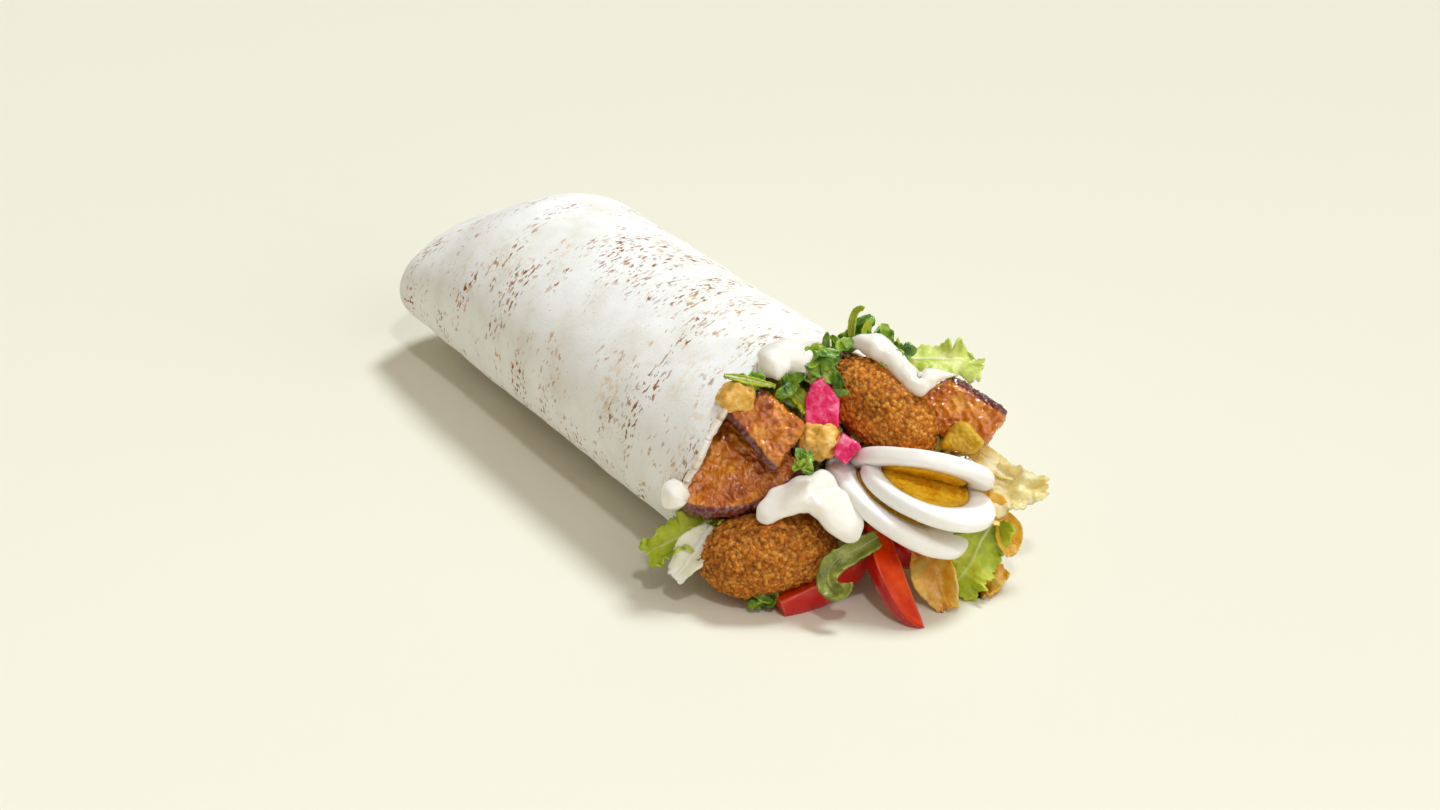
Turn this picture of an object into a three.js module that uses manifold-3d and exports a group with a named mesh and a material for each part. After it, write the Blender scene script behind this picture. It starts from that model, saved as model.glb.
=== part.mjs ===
// A falafel wrap: one flatbread rolled into a tube, tucked shut at its tail, with its filling heaped out
// of the mouth. Millimetres, +Z up, +X from the tail towards the mouth. It lies on its flattened underside.
import * as THREE from "three";
import { mergeVertices } from "three/addons/utils/BufferGeometryUtils.js";
import Module from "manifold-3d";

const wasm = await Module();
wasm.setup();

// Driving dimensions of the rolled bread.
const BREAD_LENGTH = 141; // from the tail to the shortest part of the mouth's edge
const MOUTH_WIDTH = 70;
const MOUTH_HEIGHT = 59;
const TAIL_WIDTH = 66;
const TAIL_HEIGHT = 55;
const BREAD_WALL = 3.2;
const SEAM_STEP = 1.6; // the free edge of the bread stands this far off the turn beneath it
const SEAM_ANGLE = -38; // degrees below the level of the +Y side
const MOUTH_REACH = 16; // how far the mouth's edge reaches past BREAD_LENGTH on average
const MOUTH_WAVES = [[3.5, 6], [7.2, -4]]; // cosine and sine depth of one and of two waves round the edge
const UNDERSIDE_FLAT = 1.3; // depth by which the round underside is pressed flat
const TAIL_PRESSED = [5, 39]; // heights between which the tucked end is pressed flat
const TAIL_SLOPE = 38; // length over which the roll slopes to them
const TAIL_ROUND = 8; // length over which the tail closes
const TAIL_TUCK = 4; // depth of the crease where the tail is folded in
const GAP = 0.4; // clearance between neighbouring pieces

// The heap faces up and to one side. Its own frame has X across, Y up the face and Z out of it.
const HEAP_ORIGIN = [20, 0, 30];
const HEAP_TURN = 57.2;
const HEAP_LEAN = 62;

// Driving dimensions of the filling.
const EGG_SLICE = 4.4; // thickness
const YOLK_RADIUS = 10.5;
const AUBERGINE_RADIUS = 25.5;
const AUBERGINE_SLICE = 7; // thickness

const COLOURS = {
  bread: [0xf1ece0, 0.85],
  filling: [0x9aa55a, 0.7],
  falafel: [0xa8652a, 0.9],
  aubergine: [0xb0622a, 0.35],
  turnip: [0xe8387f, 0.35],
  cauliflower: [0xe2c784, 0.7],
  pickle: [0xa8a02e, 0.4],
  eggWhite: [0xf7f5ef, 0.35],
  eggYolk: [0xdda52b, 0.7],
  tomato: [0xcf2a1b, 0.25],
  lettuce: [0x9cbb3a, 0.5],
  cabbage: [0xe6e6c8, 0.5],
  onion: [0xdba24a, 0.4],
  sauce: [0xf3ede2, 0.3],
};

const degrees = (angle) => (angle * Math.PI) / 180;

function colouredMesh(name, colour, geometry) {
  const [color, roughness] = COLOURS[colour];
  const material = new THREE.MeshStandardMaterial({ color, roughness, metalness: 0 });
  const made = new THREE.Mesh(geometry, material);
  made.name = name;
  return made;
}

// Booleans

function solidOf(geometry) {
  const bare = geometry.index ? geometry.toNonIndexed() : geometry.clone();
  for (const name of Object.keys(bare.attributes)) {
    if (name !== "position") bare.deleteAttribute(name);
  }
  const merged = mergeVertices(bare, 1e-3);
  return new wasm.Manifold(
    new wasm.Mesh({
      numProp: 3,
      vertProperties: merged.attributes.position.array,
      triVerts: new Uint32Array(merged.index.array),
    }),
  );
}

function geometryOf(solid) {
  const { vertProperties, triVerts } = solid.getMesh();
  const geometry = new THREE.BufferGeometry();
  geometry.setAttribute("position", new THREE.BufferAttribute(vertProperties, 3));
  geometry.setIndex(new THREE.BufferAttribute(triVerts, 1));
  geometry.computeVertexNormals();
  return geometry;
}

// Only the largest body is kept, so that a cut never leaves loose chips.
function largestOf(solid) {
  return solid.decompose().reduce((best, body) => (body.volume() > best.volume() ? body : best));
}

// A copy with its faces moved out by a little over the gap. A vertex of a sharp edge moves further.
function swollen(geometry) {
  const copy = geometryOf(solidOf(geometry));
  const { position, normal } = copy.attributes;
  const least = new Array(position.count).fill(1);
  const corners = [new THREE.Vector3(), new THREE.Vector3(), new THREE.Vector3()];
  const faceNormal = new THREE.Vector3();
  const vertexNormal = new THREE.Vector3();
  for (let i = 0; i < copy.index.count; i += 3) {
    corners.forEach((corner, k) => corner.fromBufferAttribute(position, copy.index.getX(i + k)));
    new THREE.Triangle(...corners).getNormal(faceNormal);
    for (let k = 0; k < 3; k++) {
      const vertex = copy.index.getX(i + k);
      vertexNormal.fromBufferAttribute(normal, vertex);
      least[vertex] = Math.min(least[vertex], faceNormal.dot(vertexNormal));
    }
  }
  for (let i = 0; i < position.count; i++) {
    const by = (1.4 * GAP) / Math.max(0.2, least[i]);
    const x = position.getX(i) + by * normal.getX(i);
    const y = position.getY(i) + by * normal.getY(i);
    const z = position.getZ(i) + by * normal.getZ(i);
    position.setXYZ(i, x, y, z);
  }
  return copy;
}

function cutBy(mesh, others, tolerance) {
  mesh.updateWorldMatrix(true, false);
  const intoMesh = mesh.matrixWorld.clone().invert();
  let solid = solidOf(mesh.geometry);
  for (const other of others) {
    other.updateWorldMatrix(true, false);
    const cutter = other.userData.cutter.clone();
    cutter.applyMatrix4(intoMesh.clone().multiply(other.matrixWorld));
    solid = solid.subtract(solidOf(cutter));
  }
  mesh.geometry = geometryOf(largestOf(solid.simplify(tolerance)));
}

// Bread

// A point of the rolled bread: a share of the radius at an angle, at a share of the length, inside a wall.
function rolledPoint(radius, angle, share, inset) {
  const along = Math.max(0, Math.min(1, share));
  const halfWidth = THREE.MathUtils.lerp(TAIL_WIDTH, MOUTH_WIDTH, along) / 2;
  const fullHeight = THREE.MathUtils.lerp(TAIL_HEIGHT, MOUTH_HEIGHT, along);
  const slope = THREE.MathUtils.smoothstep(along * BREAD_LENGTH, 0, TAIL_SLOPE);
  const bottom = THREE.MathUtils.lerp(TAIL_PRESSED[0], 0, slope);
  const halfHeight = (THREE.MathUtils.lerp(TAIL_PRESSED[1], fullHeight, slope) - bottom) / 2;
  const turn = (angle - degrees(SEAM_ANGLE)) / (2 * Math.PI);
  const roll = inset > 0 ? 0 : SEAM_STEP * (turn - Math.floor(turn) - 0.5);
  const across = (halfWidth - inset + roll) * radius * Math.cos(angle);
  const height = bottom + halfHeight + (halfHeight - inset + roll) * radius * Math.sin(angle);
  const wave = MOUTH_WAVES.reduce((sum, [cosine, sine], i) => {
    return sum + cosine * Math.cos((i + 1) * angle) + sine * Math.sin((i + 1) * angle);
  }, 0);
  const x = share * (BREAD_LENGTH + MOUTH_REACH + radius * wave) - BREAD_LENGTH;
  return new THREE.Vector3(x, across, Math.max(height, UNDERSIDE_FLAT + inset) - UNDERSIDE_FLAT);
}

// Profile of the closed tail: the radius grows along a superellipse over the tail's length.
function tailProfile(start, steps) {
  const points = [];
  for (let i = 0; i <= steps; i++) {
    const swing = (i / steps) * (Math.PI / 2);
    const share = start + ((1 - Math.cos(swing) ** 0.8) * TAIL_ROUND) / BREAD_LENGTH;
    points.push(new THREE.Vector2(i === 0 ? 0 : Math.sin(swing) ** 0.8, share));
  }
  return points;
}

// Lathes a profile of radius against share of the length, and bends it onto the rolled bread.
function rolledGeometry(profile, segments, insetOf) {
  const lathe = new THREE.LatheGeometry(profile, segments);
  const position = lathe.attributes.position;
  for (let i = 0; i < position.count; i++) {
    const row = i % profile.length;
    const column = Math.floor(i / profile.length) % segments;
    const { x: radius, y: share } = profile[row];
    // The first column stands close to the last, so that the free edge is a short step.
    const angle = degrees(SEAM_ANGLE) + ((column === 0 ? 0.12 : column) * 2 * Math.PI) / segments;
    const point = rolledPoint(radius, angle, share, insetOf(row));
    const crease = Math.exp(-(((point.z - TAIL_PRESSED[1] / 2) / 4) ** 2));
    point.x += share < 0.1 ? TAIL_TUCK * crease * (1 - radius ** 3) : 0;
    position.setXYZ(i, point.x, point.y, point.z);
  }
  return lathe;
}

const shares = (values) => values.map((share) => new THREE.Vector2(1, share));

// The bread as a cup, or a copy of it with a clearance all round.
function breadGeometry(clearance) {
  const clear = clearance / BREAD_LENGTH;
  const outside = [...tailProfile(-clear, 5), ...shares([0.12, 0.2, 0.29, 0.65, 1 + clear])];
  const floor = (2 * BREAD_WALL) / BREAD_LENGTH + clear;
  const inside = [...shares([1 + clear, 0.29, 0.2]), ...tailProfile(floor, 4).reverse()];
  const insetOf = (row) => (row < outside.length ? -clearance : BREAD_WALL + clearance);
  return geometryOf(solidOf(rolledGeometry([...outside, ...inside], 38, insetOf)));
}

// The filling inside the roll, up to the mouth.
function plugGeometry() {
  const inset = BREAD_WALL + 1.6 * GAP;
  const end = new THREE.Vector2(0, 1);
  const profile = [...tailProfile(0.06, 3), ...shares([0.2, 0.29, 0.65, 1]), end];
  return rolledGeometry(profile, 24, () => inset);
}

// Filling

// An ellipsoid with a few soft lumps, slimmer towards its -X end by the taper.
function lumpyBall([x, y, z], columns, rows, lump, taper = 0) {
  const ball = new THREE.SphereGeometry(1, columns, rows);
  const position = ball.attributes.position;
  const point = new THREE.Vector3();
  for (let i = 0; i < position.count; i++) {
    point.fromBufferAttribute(position, i);
    const wave = Math.sin(5 * point.x + 1) * Math.sin(4 * point.y + 2) * Math.sin(6 * point.z);
    const slim = 1 + taper * point.x;
    point.multiplyScalar(1 + lump * wave);
    position.setXYZ(i, point.x * x, point.y * y * slim, point.z * z * slim);
  }
  return ball;
}

// A flat-faced chunk: an outline of corners with bevelled edges, centred in its thickness.
function chunk(corners, thickness, bevel) {
  const outline = new THREE.Shape(corners.map(([x, y]) => new THREE.Vector2(x, y)));
  const geometry = new THREE.ExtrudeGeometry(outline, {
    depth: thickness - 2 * bevel,
    bevelThickness: bevel,
    bevelSize: bevel,
    bevelOffset: -bevel,
    bevelSegments: 1,
  });
  return geometry.translate(0, 0, bevel - thickness / 2);
}

// A slice's sector with its skin on the arc.
function sector(radius, opening, thickness, bevel) {
  const steps = 10;
  const arc = Array.from({ length: steps + 1 }, (_, i) => {
    const angle = degrees((opening * i) / steps);
    return [radius * Math.cos(angle), radius * Math.sin(angle)];
  });
  return chunk([[0, 0], ...arc], thickness, bevel);
}

// An oval slice of boiled egg white around a round hole for the yolk, blunter at one end.
function eggRing([length, width]) {
  const half = EGG_SLICE / 2;
  const hole = YOLK_RADIUS / (width / 2);
  const profile = [
    [hole, -half],
    [0.92, -half],
    [1, -half * 0.5],
    [1, half * 0.5],
    [0.92, half],
    [hole, half],
    [hole, -half],
  ].map(([radius, height]) => new THREE.Vector2(radius, height));
  const ring = new THREE.LatheGeometry(profile, 24);
  const position = ring.attributes.position;
  for (let i = 0; i < position.count; i++) {
    const [x, height, z] = [position.getX(i), position.getY(i), position.getZ(i)];
    const radius = Math.hypot(x, z);
    const outwards = (radius - hole) / (1 - hole);
    const stretch = THREE.MathUtils.lerp(width, length, outwards) / 2;
    const blunt = 1 + 0.07 * (x / radius) * outwards;
    position.setXYZ(i, x * stretch, (-z * width * blunt) / 2, height);
  }
  return ring;
}

function yolkDisc() {
  const radius = YOLK_RADIUS - 2 * GAP;
  return new THREE.CylinderGeometry(radius, radius, EGG_SLICE - 0.6, 18).rotateX(Math.PI / 2);
}

// A wedge of tomato along X with its skin towards +Z. The trim is the share of its length cut off at -X.
function tomatoWedge([length, width, depth], opening, trim) {
  const ball = new THREE.SphereGeometry(1, 18, 12).rotateZ(Math.PI / 2);
  ball.scale(length / 2, width, depth);
  const spread = Math.tan(degrees(opening / 2)) * depth * 2;
  const section = new THREE.Shape([
    new THREE.Vector2(0, 0),
    new THREE.Vector2(spread, depth * 2),
    new THREE.Vector2(-spread, depth * 2),
  ]);
  const prism = new THREE.ExtrudeGeometry(section, { depth: length * 1.5, bevelEnabled: false });
  const intoLength = new THREE.Matrix4().makeBasis(
    new THREE.Vector3(0, 1, 0),
    new THREE.Vector3(0, 0, 1),
    new THREE.Vector3(1, 0, 0),
  );
  prism.applyMatrix4(intoLength).translate(length * (trim - 0.5), 0, 0);
  return geometryOf(solidOf(ball).intersect(solidOf(prism))).translate(0, 0, -depth * 0.55);
}

// A leaf or petal: a thin slab bent into a cup, with waves along its edges.
function leaf([length, width], { thickness = 1, cup = 0, curl = 0, ruffle = 0, point = 0.5 }) {
  const slab = new THREE.BoxGeometry(1, 1, 1, 8, 4, 1);
  const position = slab.attributes.position;
  for (let i = 0; i < position.count; i++) {
    const [u, v, w] = [position.getX(i), position.getY(i), position.getZ(i)];
    const taper = 1 - point * (u + 0.5) ** 2 - 0.35 * (0.5 - u) ** 3;
    const edge = Math.abs(v) * 2;
    const wave = ruffle * edge * edge * Math.sin(9 * u + (v > 0 ? 0 : 1.6));
    const bend = curl * (u + 0.5) ** 2 + cup * (edge * taper) ** 2 + wave;
    position.setXYZ(i, length * u, width * v * taper, bend + w * thickness);
  }
  return slab;
}

// A rope of sauce through points of the heap, with a radius at each point.
function sauceRope(points, radii) {
  const curve = new THREE.CatmullRomCurve3(points.map((p) => new THREE.Vector3(...p)));
  const rope = new THREE.SphereGeometry(1, 9, 12).rotateZ(Math.PI / 2);
  const position = rope.attributes.position;
  const last = radii.length - 1;
  for (let i = 0; i < position.count; i++) {
    const [x, y, z] = [position.getX(i), position.getY(i), position.getZ(i)];
    const round = Math.hypot(y, z);
    const share = Math.acos(Math.max(-1, Math.min(1, -x))) / Math.PI;
    const middle = curve.getPoint(share);
    const along = curve.getTangent(share);
    const across = new THREE.Vector3(0, 0, 1).cross(along).normalize();
    const out = along.clone().cross(across).normalize();
    const before = Math.min(last - 1, Math.floor(share * last));
    const radius = THREE.MathUtils.lerp(radii[before], radii[before + 1], share * last - before);
    const body = round === 0 ? 0 : (radius * Math.min(1, 1.6 * round)) / round;
    middle.addScaledVector(across, y * body).addScaledVector(out, z * body);
    position.setXYZ(i, middle.x, middle.y, middle.z);
  }
  return rope;
}

// A spill of sauce: a soft flat mass with lobes, each an angle, an extra reach and a width in degrees.
function sauceSpill([across, up, thickness], lobes) {
  const ball = new THREE.SphereGeometry(1, 30, 8).rotateX(Math.PI / 2);
  const position = ball.attributes.position;
  for (let i = 0; i < position.count; i++) {
    const [x, y, z] = [position.getX(i), position.getY(i), position.getZ(i)];
    const angle = Math.atan2(y, x);
    const reach = lobes.reduce((sum, [at, extra, spread]) => {
      const off = Math.atan2(Math.sin(angle - degrees(at)), Math.cos(angle - degrees(at)));
      return sum + extra * Math.exp(-((off / degrees(spread)) ** 2));
    }, 0);
    const round = Math.hypot(x, y);
    const far = x * (across + reach);
    const droop = round < 1e-6 ? 0 : -0.012 * far * far;
    position.setXYZ(i, far, y * (up + reach), (z * thickness) / 2 + droop);
  }
  return ball;
}

// Placing

const wrap = new THREE.Group();
const heap = new THREE.Group();
heap.rotation.order = "ZXY";
heap.rotation.set(degrees(HEAP_LEAN), 0, degrees(HEAP_TURN));
heap.position.set(...HEAP_ORIGIN);
wrap.add(heap);

// Puts a piece in the heap's frame, with its X along one direction and its Z facing another.
function put(name, colour, geometry, at = [0, 0, 0], along = [1, 0, 0], facing = [0, 0, 1]) {
  const made = colouredMesh(name, colour, geometry);
  const x = new THREE.Vector3(...along).normalize();
  const towards = new THREE.Vector3(...facing);
  const z = towards.addScaledVector(x, -towards.dot(x)).normalize();
  const y = new THREE.Vector3().crossVectors(z, x);
  made.quaternion.setFromRotationMatrix(new THREE.Matrix4().makeBasis(x, y, z));
  made.position.set(...at);
  made.userData.cutter = swollen(geometry);
  heap.add(made);
  return made;
}

const flatbread = colouredMesh("flatbread", "bread", breadGeometry(0));
flatbread.userData.cutter = breadGeometry(GAP);
wrap.add(flatbread);

const FALAFEL_LOW = lumpyBall([17.5, 11.3, 12.5], 16, 11, 0.05);
const FALAFEL_TOP = lumpyBall([16.8, 10.2, 11.5], 16, 11, 0.05, 0.12);
const falafels = [
  put("falafel_low", "falafel", FALAFEL_LOW, [-8, -25.3, 9.5], [1, 0.15, 0]),
  put("falafel_top", "falafel", FALAFEL_TOP, [21.1, 10.8, 6], [0.71, -0.69, 0.1]),
];

const eggSlices = {
  a: { size: [37, 30], at: [31.4, -4.4, 9.6], along: [0.986, -0.165, 0.05], facing: [-0.16, -0.96, 0.22] },
  b: { size: [36, 29], at: [32.6, -10, 13], along: [0.92, -0.39, 0.1], facing: [0.35, 0.83, 0.42] },
  c: { size: [42, 32], at: [25, -13, 9], along: [0.82, -0.57, 0.08], facing: [0.52, 0.74, 0.42] },
};
const eggs = Object.entries(eggSlices).flatMap(([slice, { size, at, along, facing }]) => [
  put(`egg_white_${slice}`, "eggWhite", eggRing(size), at, along, facing),
  put(`egg_yolk_${slice}`, "eggYolk", yolkDisc(), at, along, facing),
]);

const AUBERGINE_WEDGE = sector(AUBERGINE_RADIUS, 81, AUBERGINE_SLICE, 1);
const AUBERGINE_CUBE = chunk([[-10, 4.3], [2, -10.3], [9.8, 0.8], [-0.8, 9.5]], 10, 1.2);
const CORNER_OUTLINE = [[-10, 3.8], [-9, -2.5], [-2, -8.5], [6, -8.6], [11.2, -0.3], [-1.8, 7.9]];
const AUBERGINE_CORNER = chunk(CORNER_OUTLINE, 9, 1);
const aubergines = [
  put("aubergine_cube", "aubergine", AUBERGINE_CUBE, [-8.4, 6.2, 15.5]),
  put(
    "aubergine_wedge",
    "aubergine",
    AUBERGINE_WEDGE,
    [-19.7, 8.7, 7],
    [-0.387, -0.89, 0.24],
    [-0.02, 0.27, 0.96],
  ),
  put("aubergine_corner", "aubergine", AUBERGINE_CORNER, [41.7, 10.8, 3]),
];

const STICK_OUTLINE = [[-4, -6.5], [4.3, -6.8], [4.6, 0.4], [0.3, 6.3], [-2.4, 4.6], [-4.2, 0.5]];
const TURNIP_STICK = chunk(STICK_OUTLINE, 8, 0.8);
const TURNIP_CUBE = chunk([[-3.6, -1.4], [-0.3, -4], [3.6, 0.7], [-1.1, 4.2]], 6.5, 0.6);
const PICKLE = chunk([[-5.5, -2.4], [3.4, -4.2], [5.8, -1.2], [1.8, 4], [-0.4, 4.2], [-3, 1.5]], 7, 1);
const smallPieces = [
  put("turnip_stick", "turnip", TURNIP_STICK, [5.7, 12.8, 13]),
  put("turnip_cube", "turnip", TURNIP_CUBE, [12.1, 1, 17]),
  put("cauliflower_floret", "cauliflower", lumpyBall([5.2, 4.8, 4.5], 11, 8, 0.14), [5.4, 3, 16.5]),
  put("cauliflower_stalk", "cauliflower", lumpyBall([4.6, 4.4, 4], 10, 7, 0.12), [-15.6, 14, 20]),
  put("pickle_wedge", "pickle", PICKLE, [41.1, 3.7, 10]),
];

const LETTUCE_CURL = leaf([23, 9], { cup: 3, curl: 2, point: 0.4 });
const curl = put(
  "lettuce_curl",
  "lettuce",
  LETTUCE_CURL,
  [14.5, -26.8, 17],
  [-0.85, -0.5, 0.1],
  [0.2, -0.5, 0.84],
);

const TOMATO_LEFT = tomatoWedge([44, 11, 11], 50, 0.28);
const TOMATO_CENTRE = tomatoWedge([36, 8.5, 8.5], 46, 0.1);
const TOMATO_RIGHT = tomatoWedge([30, 11, 12], 48, 0);
const tomatoes = [
  put("tomato_left", "tomato", TOMATO_LEFT, [3.2, -34, 10], [0.87, 0.45, -0.2], [0.34, -0.65, 0.66]),
  put(
    "tomato_centre",
    "tomato",
    TOMATO_CENTRE,
    [21.6, -28.6, 14],
    [0.31, -0.89, 0.33],
    [-0.865, -0.3, 0.39],
  ),
  put("tomato_right", "tomato", TOMATO_RIGHT, [29.5, -23.5, 4], [0.97, -0.22, 0.1], [0.1, -0.5, 0.85]),
];

const SHOULDER = [[-10.2, 19.5, 18], [-7.5, 22, 17], [-3.4, 24.4, 14], [1, 25.6, 11], [5, 26, 8.5]];
const RIBBON = [
  [15, 26.5, 3],
  [19.5, 26, 5],
  [24, 22, 7],
  [28, 17.8, 8],
  [31, 16, 9],
  [34, 18.4, 8],
  [42, 19.8, 7],
];
const sauces = [
  put("sauce_shoulder", "sauce", sauceRope(SHOULDER, [2.8, 3.6, 3.2, 2.6, 2])),
  put("sauce_ribbon", "sauce", sauceRope(RIBBON, [2, 2.6, 2.3, 2, 2.2, 2, 1.6])),
  put(
    "sauce_spill",
    "sauce",
    sauceSpill([7.6, 4.8, 5.4], [[187, 7.5, 16], [212, 3.4, 14], [-46, 7, 17], [30, 2.6, 30]]),
    [2.8, -13.6, 20],
    [1, 0, 0],
    [0, 0.3, 0.95],
  ),
  put("sauce_dab", "sauce", sauceRope([[-29.4, -8, 15], [-30, -11.5, 15], [-30.4, -15, 14]], [2.3, 3, 2.3])),
];

const ONION_RIGHT = leaf([20, 10], { cup: 2, ruffle: 1, point: 0.6 });
const ONION_EDGE = leaf([10, 6], { cup: 1.5, curl: 1, point: 0.3 });
const ONION_LOW = leaf([15, 12], { thickness: 1.6, cup: 2.5, curl: 2, point: 0.4 });
const ONION_FLOOR = leaf([13, 10], { cup: 2, ruffle: 1, point: 0.4 });
const onions = [
  put("onion_petal_right", "onion", ONION_RIGHT, [53.5, -10, 6], [0.98, -0.1, 0.1], [0, 0.6, 0.8]),
  put("onion_petal_edge", "onion", ONION_EDGE, [53.3, -21.5, 5], [-0.1, -1, 0], [0.3, 0, 0.95]),
  put("onion_petal_low", "onion", ONION_LOW, [35.5, -32, 8], [0.15, -0.98, 0], [-0.2, 0.1, 0.95]),
  put("onion_petal_floor", "onion", ONION_FLOOR, [46, -34.2, 5], [0.85, 0.2, 0.1], [0, 0.6, 0.8]),
];

const LETTUCE_LEFT = leaf([21, 10], { cup: 2, ruffle: 1.6, point: 0.3 });
const CABBAGE_LEFT = leaf([19, 11], { cup: 1, ruffle: 0.6, point: 0.5 });
const LETTUCE_RIGHT = leaf([22, 14], { cup: 1.5, ruffle: 1.6, point: 0.35 });
const LETTUCE_TOP = leaf([23, 9], { cup: 1, ruffle: 1.6, point: 0.3 });
const LETTUCE_STRIP = leaf([11, 4], { thickness: 1.6, cup: 0.8, curl: 1.5, point: 0 });
const leaves = [
  put("lettuce_left", "lettuce", LETTUCE_LEFT, [-29, -21, 9], [-0.87, -0.49, 0], [0.1, 0.5, 0.85]),
  put("cabbage_left", "cabbage", CABBAGE_LEFT, [-26.5, -24.4, 8], [-0.57, -0.82, 0.1], [-0.5, 0.3, 0.8]),
  put("lettuce_right", "lettuce", LETTUCE_RIGHT, [44.5, -26, 5], [-0.45, -0.89, 0], [0.2, 0.3, 0.9]),
  put("lettuce_top", "lettuce", LETTUCE_TOP, [36, 23.5, -1], [0.98, -0.12, 0], [0, 0.5, 0.86]),
  put("lettuce_strip", "lettuce", LETTUCE_STRIP, [-1, 15, 14], [0.6, -0.78, 0], [0.4, 0.2, 0.9]),
];

// Nothing reaches below the level that the wrap rests on.
const ground = new THREE.Object3D();
ground.userData.cutter = new THREE.BoxGeometry(400, 400, 60).translate(0, 0, -30);

// Each piece gives way to those before it, and the core to them all.
const pieces = [
  ...falafels,
  ...eggs,
  ...smallPieces,
  ...aubergines,
  curl,
  ...tomatoes,
  ...sauces,
  ...onions,
  ...leaves,
];
pieces.forEach((piece, index) => cutBy(piece, [ground, flatbread, ...pieces.slice(0, index)], 0.12));

const mound = put("mound", "filling", lumpyBall([31, 25, 15], 18, 11, 0.04), [12, -3, -4]);
mound.updateWorldMatrix(true, false);
heap.remove(mound);
const moundSolid = solidOf(mound.geometry.clone().applyMatrix4(mound.matrixWorld));
const coreSolid = solidOf(plugGeometry()).add(moundSolid);
const core = colouredMesh("filling_core", "filling", geometryOf(coreSolid));
wrap.add(core);
cutBy(core, [ground, flatbread, ...pieces], 0.12);

// The part's origin is under the middle of its box.
const box = new THREE.Box3().setFromObject(wrap, true);
const centre = box.getCenter(new THREE.Vector3());
wrap.position.set(-centre.x, -centre.y, -box.min.z);

export default wrap;
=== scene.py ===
import math
from random import Random

import bmesh
import bpy
from mathutils import Matrix, Vector, noise


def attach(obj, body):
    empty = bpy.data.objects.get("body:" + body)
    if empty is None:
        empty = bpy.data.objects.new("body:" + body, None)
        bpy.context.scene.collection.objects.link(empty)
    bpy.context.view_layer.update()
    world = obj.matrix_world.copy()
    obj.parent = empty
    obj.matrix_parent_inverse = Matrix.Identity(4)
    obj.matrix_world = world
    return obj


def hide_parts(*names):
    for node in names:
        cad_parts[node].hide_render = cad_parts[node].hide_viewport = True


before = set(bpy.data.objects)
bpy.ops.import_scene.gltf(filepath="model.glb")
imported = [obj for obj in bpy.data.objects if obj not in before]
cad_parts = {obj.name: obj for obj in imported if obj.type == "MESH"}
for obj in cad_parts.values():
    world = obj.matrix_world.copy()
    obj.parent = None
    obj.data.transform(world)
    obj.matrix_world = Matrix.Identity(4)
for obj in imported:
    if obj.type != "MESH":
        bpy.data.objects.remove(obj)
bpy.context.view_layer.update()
scene = bpy.context.scene
mm = 0.001

# The heap faces up and to one side: its own X runs across, Y up the face and Z out of it.
heap = {
    "origin": (56.18, -2.54, 30),  # mm, in the row frame
    "turn": 57.2,
    "lean": 62,
}
heapAxes = (
    Matrix.Rotation(math.radians(heap["turn"]), 4, "Z")
    @ Matrix.Rotation(math.radians(heap["lean"]), 4, "X")
)
heapMatrix = Matrix.Translation(Vector(heap["origin"]) * mm) @ heapAxes @ Matrix.Scale(mm, 4)


def placed(at=(0, 0, 0), along=(1, 0, 0), facing=(0, 0, 1)):
    # millimetres in a piece's own frame to metres in the row frame
    x = Vector(along).normalized()
    z = Vector(facing)
    z = (z - x * z.dot(x)).normalized()
    y = z.cross(x)
    turn = Matrix((x, y, z)).transposed().to_4x4()
    return heapMatrix @ Matrix.Translation(at) @ turn


# How every material is put together.
def linear(code):
    # sRGB hex to the linear colour that the shaders work in
    parts = [int(code[i:i + 2], 16) / 255 for i in (1, 3, 5)]
    return tuple(p / 12.92 if p <= 0.04045 else ((p + 0.055) / 1.055) ** 2.4 for p in parts) + (1,)


def perMetre(size):
    # texture scale for a feature of this many millimetres
    return 1 / (size * mm)


def addNode(material, kind, settings=None, inputs=None, links=None, stops=None):
    tree = material.node_tree
    node = tree.nodes.new(kind)
    for key, value in (settings or {}).items():
        setattr(node, key, value)
    for key, value in (inputs or {}).items():
        node.inputs[key].default_value = value
    for key, source in (links or {}).items():
        tree.links.new(source, node.inputs[key])
    if stops:
        elements = node.color_ramp.elements
        while len(elements) < len(stops):
            elements.new(0.5)
        for element, (position, code) in zip(elements, stops):
            element.position = position
            element.color = linear(code)
    return node


sockets = {  # what each entry of a look sets on the shader
    "ior": ("IOR",),
    "specular": ("Specular IOR Level",),
    "clear": ("Transmission Weight",),
    "scatter": ("Subsurface Weight", "Subsurface Scale", "Subsurface Radius"),
    "coat": ("Coat Weight", "Coat Roughness"),
}


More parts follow.
